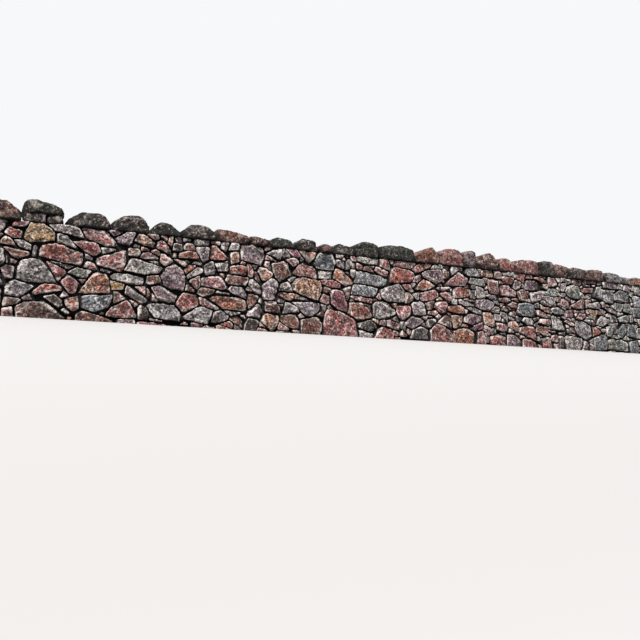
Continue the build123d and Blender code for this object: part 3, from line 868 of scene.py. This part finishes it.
def cad_solids(node):
    """The middle, half sizes, planes and corners of each solid in a CAD node, from left to right."""
    solids = []
    mesh = bmesh.new()
    mesh.from_mesh(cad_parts[node].data)
    bmesh.ops.remove_doubles(mesh, verts=mesh.verts, dist=1e-5)
    waiting = set(mesh.verts)
    while waiting:
        group, front = set(), [waiting.pop()]
        while front:
            vertex = front.pop()
            group.add(vertex)
            near = {edge.other_vert(vertex) for edge in vertex.link_edges} - group
            front.extend(near - set(front))
        waiting -= group
        corners = np.array([vertex.co for vertex in group])
        middle = (corners.min(0) + corners.max(0)) / 2
        planes = {}
        for face in {face for vertex in group for face in vertex.link_faces}:
            offset = face.normal.dot(face.verts[0].co - Vector(middle))
            planes[tuple(round(c, 2) for c in (*face.normal, offset))] = (np.array(face.normal), offset)
        normals = np.array([normal for normal, _ in planes.values()])
        offsets = np.array([offset for _, offset in planes.values()])
        solids.append((middle, (corners.max(0) - corners.min(0)) / 2, normals, offsets, corners - middle))
    mesh.free()
    return sorted(solids, key=lambda solid: solid[0][0])


def build_piece(name, rocks, material, slot, *nodes):
    """Joins stones into one piece, which rides on the wall and stands for the CAD nodes."""
    points = np.concatenate([rock.points for rock in rocks])
    starts = np.cumsum([0] + [len(rock.points) for rock in rocks])
    loops, sizes = [], []
    for rock, start in zip(rocks, starts):
        loops.append((rock.quads + start).ravel())
        sizes.append(np.full(len(rock.quads), 4))
        if len(rock.loop):
            loops.append(rock.loop + start)
            sizes.append(np.array([len(rock.loop)]))
    loops, sizes = np.concatenate(loops), np.concatenate(sizes)
    mesh = bpy.data.meshes.new(name)
    mesh.vertices.add(len(points))
    mesh.vertices.foreach_set("co", points.astype(np.float32).ravel())
    mesh.loops.add(len(loops))
    mesh.loops.foreach_set("vertex_index", loops.astype(np.int32))
    mesh.polygons.add(len(sizes))
    mesh.polygons.foreach_set("loop_start", np.concatenate(([0], np.cumsum(sizes)[:-1])).astype(np.int32))
    mesh.polygons.foreach_set("use_smooth", np.ones(len(sizes), bool))
    grounds = [np.tile((*rock.ground, rock.moss), (len(rock.points), 1)) for rock in rocks]
    stains = [np.tile((*rock.stain, 1.0), (len(rock.points), 1)) for rock in rocks]
    for key, colours in (("stone_ground", grounds), ("stone_stain", stains)):
        layer = mesh.attributes.new(key, "FLOAT_COLOR", "POINT")
        layer.data.foreach_set("color", np.concatenate(colours).ravel())
    shifts = [np.full(len(rock.points), rock.shift) for rock in rocks]
    rims, shades = [rock.rim for rock in rocks], [rock.shade for rock in rocks]
    for key, values in (("rim", rims), ("painted_shade", shades), ("grain_shift", shifts)):
        layer = mesh.attributes.new(key, "FLOAT", "POINT")
        layer.data.foreach_set("value", np.concatenate(values))
    mesh.update(calc_edges=True)
    mesh.validate()
    mesh.materials.append(material)
    piece = bpy.data.objects.new(name, mesh)
    bpy.context.scene.collection.objects.link(piece)
    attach(piece, "root")
    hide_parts(*nodes)


def filling_granite(x, rng):
    """A granite for a stone that fills in. Along the wall they get redder, then cool and grey."""
    along = (x - WALL_LEFT) / (WALL_RIGHT - WALL_LEFT)
    place = along * GRANITE_ZONES + rng.uniform(-GRANITE_DRIFT, GRANITE_DRIFT)
    return rng.choice(FILLING_GRANITES[min(max(int(place), 0), len(FILLING_GRANITES) - 1)])


def fill_between(stones, rng, top, mirrored):
    """Adds stones and pins where the measured stones leave the face open."""
    columns = int(round((WALL_RIGHT - WALL_LEFT) / CELL))
    rows = int(max(top(WALL_LEFT), top(WALL_RIGHT)) / CELL)
    x = WALL_LEFT + (np.arange(columns) + 0.5) * CELL
    z = (np.arange(rows) + 0.5) * CELL
    grid_x, grid_z = np.meshgrid(x, z, indexing="ij")
    taken = grid_z > np.array([top(value) for value in x])[:, None] - CELL
    for stone in stones:
        low, high = stone.corners.min(0), stone.corners.max(0)
        across = slice(*np.searchsorted(x, (low[0], high[0])))
        up = slice(*np.searchsorted(z, (low[1], high[1])))
        near_x, near_z = grid_x[across, up], grid_z[across, up]
        inside = np.ones(near_x.shape, bool)
        for corner, normal in zip(stone.corners, edge_normals(stone.corners)):
            ahead = (near_x - corner[0]) * normal[0] + (near_z - corner[1]) * normal[1]
            inside &= ahead < CELL_REACH
        taken[across, up] |= inside
    added = []
    for width, height, tries in FILLING_STONES:
        free = np.argwhere(~taken)
        for _ in range(tries):
            i, k = free[rng.randrange(len(free))]
            w, h = width * rng.uniform(*SIZE_SPREAD), height * rng.uniform(*SIZE_SPREAD)
            i0, i1 = int(i - w / 2 / CELL), int(i + w / 2 / CELL) + 1
            k0, k1 = int(k - h / 2 / CELL), int(k + h / 2 / CELL) + 1
            if i0 < 0 or k0 < 0 or i1 > columns or k1 > rows or taken[i0:i1, k0:k1].mean() > OVERLAP:
                continue
            taken[i0:i1, k0:k1] = True
            middle_x, middle_z = (x[i0] + x[i1 - 1]) / 2, (z[k0] + z[k1 - 1]) / 2
            turn, taper = math.radians(rng.gauss(0, TILT)), rng.uniform(*TAPER)
            block = rough_block(middle_x, middle_z, w, h, turn, taper, rng)
            added.append(Stone(block, filling_granite(-middle_x if mirrored else middle_x, rng)))
    return stones + added


def head_stones(mirrored, rng):
    """The corner stones of both heads on one face, with the course under the cope cut to its height."""
    stones = []
    for end, name in ((WALL_LEFT, "left_head"), (WALL_RIGHT, "right_head")):
        foot, high = FOOTING_HEIGHT, wall_top(end)
        course = 0
        while foot < high - LOWEST_COURSE:
            height, length, across = HEAD_COURSES[(course + (end > 0)) % len(HEAD_COURSES)]
            height = min(height, high - foot)
            if high - foot - height < LOWEST_COURSE:
                height = high - foot
            z = foot + height / 2
            depth = across if (course + mirrored) % 2 else 2 * face_reach(z) - HEAD_GAP - across
            x = end - math.copysign(length / 2, end)
            block = rough_block(-x if mirrored else x, z, length, height, 0.0, 0.0, rng)
            stones.append(Stone(block, filling_granite(end, rng), name, depth))
            foot += height
            course += 1
    return stones


def shifted(stone, top):
    """A measured stone on the back, moved along so that it doesn't stand behind its like in front."""
    span = WALL_RIGHT - WALL_LEFT
    x = stone.middle[0]
    place = (x - WALL_LEFT + BACK_SHIFT * span) % span + WALL_LEFT
    corners = stone.corners * np.array((1.0, top(place) / top(-x))) + np.array((place - x, 0.0))
    return Stone(corners, stone.granite)


def bay_piece(x, mirrored, part):
    """The piece that a place along the laid face belongs to."""
    bay = min(int((x - WALL_LEFT) / BAY_LENGTH), BAY_COUNT - 1)
    return f"back_{part}_{BAY_COUNT - bay}" if mirrored else f"front_{part}_{bay + 1}"


def set_in_bay(stone, outline, mirrored, rng):
    """Gives a stone its piece, its depth in the wall and how proud it stands."""
    x, z = outline.mean(0)
    on_ground = outline[:, 1].min() < FOOTING_FOOT and z < FOOTING_MIDDLE
    stone.piece = bay_piece(x, mirrored, "footing" if on_ground else "face")
    is_pin = np.ptp(outline, axis=0).min() < PIN_SIZE
    stone.proud = rng.uniform(*(PIN_PROUD if is_pin else STONE_PROUD))
    if on_ground:
        stone.proud += FOOTING_PROUD
    stone.depth = face_reach(z) - HALF_CORE - CORE_GAP + stone.proud


def lay_out_face(mirrored, settings):
    """Lays out the front face, or mirrored the back: each piece's stones with their outlines."""
    rng = random.Random(settings.seed + mirrored)

    def top(x):
        return wall_top(-x if mirrored else x)

    measured = []
    for granite, *numbers in FACE_STONES:
        corners = np.array(numbers).reshape(-1, 2) / 100 + np.array((MARK, 0.0))
        measured.append(Stone(corners, granite))
    if mirrored:
        measured = [shifted(stone, top) for stone in measured]
    inner = WALL_RIGHT - HEAD_ROOM
    measured = [stone for stone in measured if np.abs(stone.corners[:, 0]).max() < inner]
    stones = fill_between(head_stones(mirrored, rng) + measured, rng, top, mirrored)
    lows = np.array([stone.corners.min(0) for stone in stones])
    highs = np.array([stone.corners.max(0) for stone in stones])
    near = 2 * settings.slack + CELL
    laid = {}
    for stone in stones:
        close = ((lows < stone.corners.max(0) + near) & (highs > stone.corners.min(0) - near)).all(1)
        others = [stones[k] for k in np.flatnonzero(close) if stones[k] is not stone]
        outline = grown_outline(stone, others, settings, top, rng)
        if len(outline) < 3 or np.ptp(outline, axis=0).min() < NARROWEST_STONE:
            continue
        if not stone.piece:
            set_in_bay(stone, outline, mirrored, rng)
        laid.setdefault(stone.piece, []).append((stone, outline))
    return laid


def build_face(mirrored, spacing, settings, material):
    """Builds the bays of one face and their foundation stones."""
    laid = lay_out_face(mirrored, settings)
    rng = random.Random(settings.seed + mirrored)
    for bay in range(BAY_COUNT):
        left = WALL_LEFT + bay * BAY_LENGTH
        for part, slot in (("face", "walling_stone"), ("footing", "footing_stone")):
            name = bay_piece(left + BAY_LENGTH / 2, mirrored, part)
            rocks = [face_rock(stone, outline, spacing, rng) for stone, outline in laid[name]]
            if part == "face":
                rocks.append(packing_rock(left, left + BAY_LENGTH, mirrored, rng))
            rocks = [battered(rock, mirrored) for rock in rocks]
            build_piece(f"{name}_stones", rocks, material, slot, name)


def build_blocks(name, node, slot, material, spacing, cut, looks, rng):
    """Builds a piece of blocks that are cut alike, one for each solid of a CAD node. The looks say which
    granite each is of and how mossy it is."""
    rocks = [block_rock(solid, spacing, *cut, *next(looks), rng) for solid in cad_solids(node)]
    build_piece(name, rocks, material, slot, node)


def add_node(tree, kind, inputs=None, **settings):
    """Adds a node, makes its settings, and fills its inputs with values or with other nodes' outputs."""
    made = tree.nodes.new(kind)
    for key, value in settings.items():
        setattr(made, key, value)
    for key, value in (inputs or {}).items():
        if isinstance(value, bpy.types.NodeSocket):
            tree.links.new(value, made.inputs[key])
        else:
            made.inputs[key].default_value = value
    return made


def new_material(name):
    """An empty node material and its tree."""
    material = bpy.data.materials.new(name)
    material.use_nodes = True
    material.node_tree.nodes.clear()
    return material, material.node_tree


def weathered_granite(name, settings, mossy):
    """Field-gathered granite, broken and weathered. Its crystals give a salt-and-pepper speckle, iron
    stains it rusty in patches, and knocked edges are pale, as wear and as a painted highlight. Painted
    shade darkens it into the joints, under the stones and in hollows. If it is mossy, moss blackens it
    and lichen dots it."""
    material, tree = new_material(name)
    ground = add_node(tree, "ShaderNodeAttribute", attribute_name="stone_ground")
    stain = add_node(tree, "ShaderNodeAttribute", attribute_name="stone_stain").outputs["Color"]
    rim = add_node(tree, "ShaderNodeAttribute", attribute_name="rim").outputs["Fac"]
    shade = add_node(tree, "ShaderNodeAttribute", attribute_name="painted_shade").outputs["Fac"]
    shift = add_node(tree, "ShaderNodeAttribute", attribute_name="grain_shift").outputs["Fac"]
    place = add_node(tree, "ShaderNodeTexCoord").outputs["Object"]

    def patches(size, detail, roughness):
        inputs = {"Vector": place, "W": shift, "Scale": 1 / size, "Detail": detail, "Roughness": roughness}
        return add_node(tree, "ShaderNodeTexNoise", inputs, noise_dimensions="4D").outputs["Fac"]

    def between(value, low, high):
        inputs = {"Value": value, "From Min": low, "From Max": high}
        made = add_node(tree, "ShaderNodeMapRange", inputs, interpolation_type="SMOOTHSTEP")
        return made.outputs["Result"]

    def mixed(factor, first, second, blend="MIX"):
        inputs = {0: factor, 6: first, 7: second}
        return add_node(tree, "ShaderNodeMix", inputs, data_type="RGBA", blend_type=blend).outputs[2]

    def product(first, second):
        return add_node(tree, "ShaderNodeMath", {0: first, 1: second}, operation="MULTIPLY").outputs[0]

    # Moss and dirt dull the crystals of the stones on top
    clean = 0.7 if mossy else 1.0
    wear_and_highlight_colour = settings.lichen if mossy else settings.quartz
    crystals = patches(CRYSTAL_SIZE, 3.0, 0.75)
    blotches = patches(BLOTCH_SIZE, 4.0, 0.6)
    clouds = patches(CLOUD_SIZE, 3.0, 0.55)
    colour = mixed(between(clouds, 0.40, 0.55), ground.outputs["Color"], stain)
    # Dark granites have dull crystals, except on the mossy stones, where all gleam alike
    gleam = 0.74 if mossy else product(between(ground.outputs["Color"], -0.08, 0.34), 0.92)
    pale = mixed(gleam, colour, (*settings.quartz, 1))
    # Each speckle's pattern, where in it the speckle starts and is full, its strength, colour and blend
    speckles = (
        (blotches, 0.48, 0.37, 0.95, IRON, "MULTIPLY"),
        (blotches, 0.56, 0.67, 0.75 * clean, pale, "MIX"),
        (crystals, 0.485, 0.41, 0.95, MICA, "MULTIPLY"),
        (crystals, 0.55, 0.61, 0.95 * clean, pale, "MIX"),
    )
    for pattern, start, full, strength, over, blend in speckles:
        colour = mixed(product(between(pattern, start, full), strength), colour, over, blend)
    # Pale edges: part wear, part painted highlight
    knocked = product(rim, between(blotches, 0.48, 0.62) if mossy else between(crystals, 0.34, 0.50))
    colour = mixed(product(knocked, settings.edge_wear_and_highlight), colour, (*wear_and_highlight_colour, 1))
    inputs = {"Vector": place, "W": shift, "Scale": CRACKS}
    form = {"voronoi_dimensions": "4D", "feature": "DISTANCE_TO_EDGE"}
    cracked = add_node(tree, "ShaderNodeTexVoronoi", inputs, **form)
    crack = product(between(cracked.outputs["Distance"], 0.07, 0.01), between(clouds, 0.50, 0.58))
    colour = mixed(product(crack, 0.75), colour, CRACK_DARK, "MULTIPLY")
    if mossy:
        growth = product(between(patches(MOSS_SIZE, 5.0, 0.7), 0.58, 0.44), ground.outputs["Alpha"])
        colour = mixed(product(growth, 0.9), colour, (*settings.moss, 1))
        lichen = product(between(patches(LICHEN_SIZE, 3.0, 0.6), 0.62, 0.70), 0.35)
        colour = mixed(lichen, colour, (*settings.lichen, 1))
    # Painted shade: near black deep in the joints, under the stones and in hollows
    colour = mixed(product(shade, 0.97), colour, PAINTED_SHADE_COLOUR, "MULTIPLY")
    relief = add_node(tree, "ShaderNodeMath", {0: crystals, 1: 0.45, 2: blotches}, operation="MULTIPLY_ADD")
    inputs = {"Height": relief.outputs[0], "Strength": 1.0, "Distance": RELIEF}
    bump = add_node(tree, "ShaderNodeBump", inputs)
    look = {"Base Color": colour, "Normal": bump.outputs[0], "Roughness": 0.88, "IOR": 1.5}
    skin = add_node(tree, "ShaderNodeBsdfPrincipled", look)
    add_node(tree, "ShaderNodeOutputMaterial", {"Surface": skin.outputs[0]})
    return material


def packed_hearting(name, settings):
    """Small broken stone packed by hand into the core. It is seen only as dark depth in the open joints."""
    material, tree = new_material(name)
    place = add_node(tree, "ShaderNodeTexCoord").outputs["Object"]
    cells = add_node(tree, "ShaderNodeTexVoronoi", {"Vector": place, "Scale": 14.0}, feature="F1")
    distance = cells.outputs["Distance"]
    # Each small stone darkens to near black towards its edges: painted shade in the gaps between them
    inputs = {0: distance, 6: (*settings.hearting, 1), 7: (0.01, 0.01, 0.01, 1)}
    rubble_with_painted_gaps = add_node(tree, "ShaderNodeMix", inputs, data_type="RGBA").outputs[2]
    inputs = {"Height": distance, "Strength": 1.0, "Distance": 0.03}
    bump = add_node(tree, "ShaderNodeBump", inputs, invert=True)
    look = {"Base Color": rubble_with_painted_gaps, "Normal": bump.outputs[0], "Roughness": 0.95}
    skin = add_node(tree, "ShaderNodeBsdfPrincipled", look)
    add_node(tree, "ShaderNodeOutputMaterial", {"Surface": skin.outputs[0]})
    return material


def length_setting(name, description, default):
    """A setting in metres."""
    return FloatProperty(name=name, description=description, default=default, unit="LENGTH")


def colour_setting(name, description, hex_colour):
    """A colour setting."""
    default = linear(hex_colour)
    return FloatVectorProperty(name=name, description=description, subtype="COLOR", size=3, default=default)


class DryStoneSettings(bpy.types.PropertyGroup):
    """How the wall is laid and coloured."""

    joint: length_setting("Joint", "Open joint left between two stones at the face", 0.010)
    slack: length_setting("Slack", "How far a stone may grow to meet its neighbours", 0.07)
    front_mesh: length_setting("Front mesh", "Mesh spacing on the front stones", 0.015)
    back_mesh: length_setting("Back mesh", "Mesh spacing on the back stones", 0.026)
    head_mesh: length_setting("Head mesh", "Mesh spacing on the head stones", 0.019)
    cope_mesh: length_setting("Cope mesh", "Mesh spacing on the cope stones", 0.015)
    seed: IntProperty(name="Seed", description="Starts the random choices", default=11)
    # Pale knocked edges: part wear, part painted highlight
    edge_wear_and_highlight: FloatProperty(
        name="Edge wear",
        description="How pale knocked edges are",
        default=0.85,
        min=0,
        max=1,
        subtype="FACTOR",
    )
    quartz: colour_setting("Quartz", "The palest crystals", "#f2e8e2")
    moss: colour_setting("Moss", "Dry moss on the cope", "#1d1f17")
    lichen: colour_setting("Lichen", "Crusts of lichen", "#a69a92")
    hearting: colour_setting("Hearting", "Stone in the core", "#4a4542")
    floor: colour_setting("Floor", "The studio floor", "#c2c1c0")


class WALL_OT_lay_front(bpy.types.Operator):
    """Lays the front face and its foundation stones, bay by bay"""

    bl_idname = "wall.lay_front"
    bl_label = "Lay front face"

    def execute(self, context):
        settings = context.scene.dry_stone
        material = weathered_granite("Weathered granite", settings, False)
        build_face(False, settings.front_mesh, settings, material)
        return {"FINISHED"}


class WALL_OT_lay_back(bpy.types.Operator):
    """Lays the back face and its foundation stones, bay by bay"""

    bl_idname = "wall.lay_back"
    bl_label = "Lay back face"

    def execute(self, context):
        settings = context.scene.dry_stone
        build_face(True, settings.back_mesh, settings, bpy.data.materials["Weathered granite"])
        return {"FINISHED"}


class WALL_OT_close_heads(bpy.types.Operator):
    """Closes both ends with their corner stones on a foundation slab"""

    bl_idname = "wall.close_heads"
    bl_label = "Close heads"

    def execute(self, context):
        settings = context.scene.dry_stone
        material = bpy.data.materials["Weathered granite"]
        rng = random.Random(settings.seed + HEADS_SEED)
        looks = repeat(("brown", 0.0))
        rocks = {"left_head": [], "right_head": []}
        for mirrored in (False, True):
            laid = lay_out_face(mirrored, settings)
            for end in rocks:
                made = [face_rock(stone, outline, settings.head_mesh, rng) for stone, outline in laid[end]]
                rocks[end] += [battered(rock, mirrored) for rock in made]
        for end, laid_rocks in rocks.items():
            build_piece(f"{end}_stones", laid_rocks, material, "walling_stone", end)
            name, node, spacing = f"{end}_slab", f"{end}_footing", settings.head_mesh
            build_blocks(name, node, "footing_stone", material, spacing, SLAB_CUT, looks, rng)
        return {"FINISHED"}


class WALL_OT_set_cope(bpy.types.Operator):
    """Sets the rough cope stones along the top, with the packing slabs under one of them"""

    bl_idname = "wall.set_cope"
    bl_label = "Set cope"

    def execute(self, context):
        settings = context.scene.dry_stone
        material = weathered_granite("Mossy granite", settings, True)
        rng = random.Random(settings.seed + COPE_SEED)
        spacing, looks = settings.cope_mesh, iter(COPE_STONES)
        for group in range(1, BAY_COUNT + 1):
            name, node = f"cope_{group}", f"cope_stones_{group}"
            build_blocks(name, node, "cope_stone", material, spacing, COPE_CUT, looks, rng)
        name, node, looks = "cope_packing", "packing_slabs", repeat(("dark", 0.2))
        build_blocks(name, node, "packing_stone", material, spacing, PACKING_CUT, looks, rng)
        return {"FINISHED"}


class WALL_OT_pack_hearting(bpy.types.Operator):
    """Gives the core between the faces its packed small stone"""

    bl_idname = "wall.pack_hearting"
    bl_label = "Pack hearting"

    def execute(self, context):
        material = packed_hearting("Packed hearting", context.scene.dry_stone)
        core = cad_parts["hearting"]
        core.data.materials.clear()
        core.data.materials.append(material)
        return {"FINISHED"}


# The floor is level round the wall and falls away in front of it, for a view from below the wall's foot
FLOOR_EDGE = -0.62  # where the floor begins to fall, across the wall
FLOOR_DROP = 3.6
FALL_LENGTH = 4.5
FALL_STEPS = 24
FLOOR_SIZE = 45.0
FLOOR_GLOW = (0.16, 0.14, 0.12, 1)  # the floor as the stones see it, dark, so that it lights them little

# The light: a sun with soft shadows, and the surround as it lights the wall and as it is seen
SUN_STRENGTH = 4.1
SUN_COLOUR = (1.0, 0.97, 0.93)
SUN_SIZE, SUN_SLANT, SUN_TURN = 10, 42, -36  # degrees
SURROUND_LIGHT, SURROUND_SEEN = (0.52, 0.54, 0.58, 1), (0.93, 0.94, 0.95, 1)

# The camera, from the mark on the wall and the foot of its front face
CAMERA_DISTANCE = 8.9
CAMERA_TURN = 30.0  # degrees towards the high end
CAMERA_LIFT = 7.19  # degrees above level
CAMERA_HEIGHT = -0.88
SENSOR = 36.0  # mm
LENS = 36.56  # mm
CLIP_END = 200.0


class WALL_OT_set_stage(bpy.types.Operator):
    """Sets the studio floor, the light and the camera"""

    bl_idname = "wall.set_stage"
    bl_label = "Set stage"

    def execute(self, context):
        lay_floor(context.scene.dry_stone)
        light_wall(context.scene)
        place_camera(context.scene)
        return {"FINISHED"}


def lay_floor(settings):
    """A pale floor, level under the wall and curving down in front of it."""
    material, tree = new_material("Pale floor")
    seen = add_node(tree, "ShaderNodeLightPath").outputs["Is Camera Ray"]
    inputs = {0: seen, 6: FLOOR_GLOW, 7: (*settings.floor, 1)}
    colour = add_node(tree, "ShaderNodeMix", inputs, data_type="RGBA").outputs[2]
    skin = add_node(tree, "ShaderNodeBsdfPrincipled", {"Base Color": colour, "Roughness": 0.9})
    add_node(tree, "ShaderNodeOutputMaterial", {"Surface": skin.outputs[0]})
    parts = [step / FALL_STEPS for step in range(1, FALL_STEPS + 1)]
    across = [FLOOR_SIZE, FLOOR_EDGE, *(FLOOR_EDGE - FALL_LENGTH * part for part in parts), -FLOOR_SIZE]
    falls = [FLOOR_DROP * (1 - math.cos(math.pi * part)) / 2 for part in parts]
    heights = [0.0, 0.0, *(-fall for fall in falls), -FLOOR_DROP]
    points = [(x, y, z) for y, z in zip(across, heights) for x in (-FLOOR_SIZE, FLOOR_SIZE)]
    faces = [(2 * k, 2 * k + 2, 2 * k + 3, 2 * k + 1) for k in range(len(across) - 1)]
    mesh = bpy.data.meshes.new("studio_floor")
    mesh.from_pydata(points, [], faces)
    mesh.polygons.foreach_set("use_smooth", [True] * len(faces))
    mesh.materials.append(material)
    floor = bpy.data.objects.new("studio_floor", mesh)
    bpy.context.scene.collection.objects.link(floor)


def light_wall(scene):
    """Soft studio light from above, in front and the left, and a pale surround."""
    world = bpy.data.worlds.new("Pale surround")
    world.use_nodes = True
    tree = world.node_tree
    tree.nodes.clear()
    seen = add_node(tree, "ShaderNodeLightPath").outputs["Is Camera Ray"]
    inputs = {0: seen, 6: SURROUND_LIGHT, 7: SURROUND_SEEN}
    colour = add_node(tree, "ShaderNodeMix", inputs, data_type="RGBA").outputs[2]
    sky = add_node(tree, "ShaderNodeBackground", {"Color": colour, "Strength": 1.0})
    add_node(tree, "ShaderNodeOutputWorld", {"Surface": sky.outputs[0]})
    scene.world = world
    lamp = bpy.data.lights.new("key", "SUN")
    lamp.energy = SUN_STRENGTH
    lamp.angle = math.radians(SUN_SIZE)
    lamp.color = SUN_COLOUR
    key = bpy.data.objects.new("key", lamp)
    key.rotation_euler = (math.radians(SUN_SLANT), 0, math.radians(SUN_TURN))
    scene.collection.objects.link(key)


def place_camera(scene):
    """The photograph's viewpoint: in front of the wall, to the left of its middle and below its foot."""
    turn = math.radians(CAMERA_TURN)
    camera = bpy.data.cameras.new("camera")
    camera.sensor_width = SENSOR
    camera.lens = LENS
    camera.clip_end = CLIP_END
    view = bpy.data.objects.new("camera", camera)
    x = MARK - CAMERA_DISTANCE * math.sin(turn)
    y = -HALF_BASE - CAMERA_DISTANCE * math.cos(turn)
    view.location = (x, y, CAMERA_HEIGHT)
    view.rotation_euler = (math.radians(90 + CAMERA_LIFT), 0, -turn)
    scene.collection.objects.link(view)
    scene.camera = view
    scene.view_settings.view_transform = "Standard"


STEPS = (
    WALL_OT_lay_front,
    WALL_OT_lay_back,
    WALL_OT_close_heads,
    WALL_OT_set_cope,
    WALL_OT_pack_hearting,
    WALL_OT_set_stage,
)


class WALL_PT_panel(bpy.types.Panel):
    """Lists the steps of building the wall"""

    bl_label = "Dry stone wall"
    bl_idname = "WALL_PT_panel"
    bl_space_type = "VIEW_3D"
    bl_region_type = "UI"
    bl_category = "Dry Stone"

    def draw(self, context):
        settings = context.scene.dry_stone
        for name in DryStoneSettings.__annotations__:
            self.layout.prop(settings, name)
        for step in STEPS:
            self.layout.operator(step.bl_idname)


CLASSES = (DryStoneSettings, *STEPS, WALL_PT_panel)


def register():
    for made in CLASSES:
        bpy.utils.register_class(made)
    bpy.types.Scene.dry_stone = PointerProperty(type=DryStoneSettings)


def unregister():
    del bpy.types.Scene.dry_stone
    for made in reversed(CLASSES):
        bpy.utils.unregister_class(made)


def main():
    register()
    bpy.ops.wall.lay_front()
    bpy.ops.wall.lay_back()
    bpy.ops.wall.close_heads()
    bpy.ops.wall.set_cope()
    bpy.ops.wall.pack_hearting()
    bpy.ops.wall.set_stage()


if __name__ == "__main__":
    main()
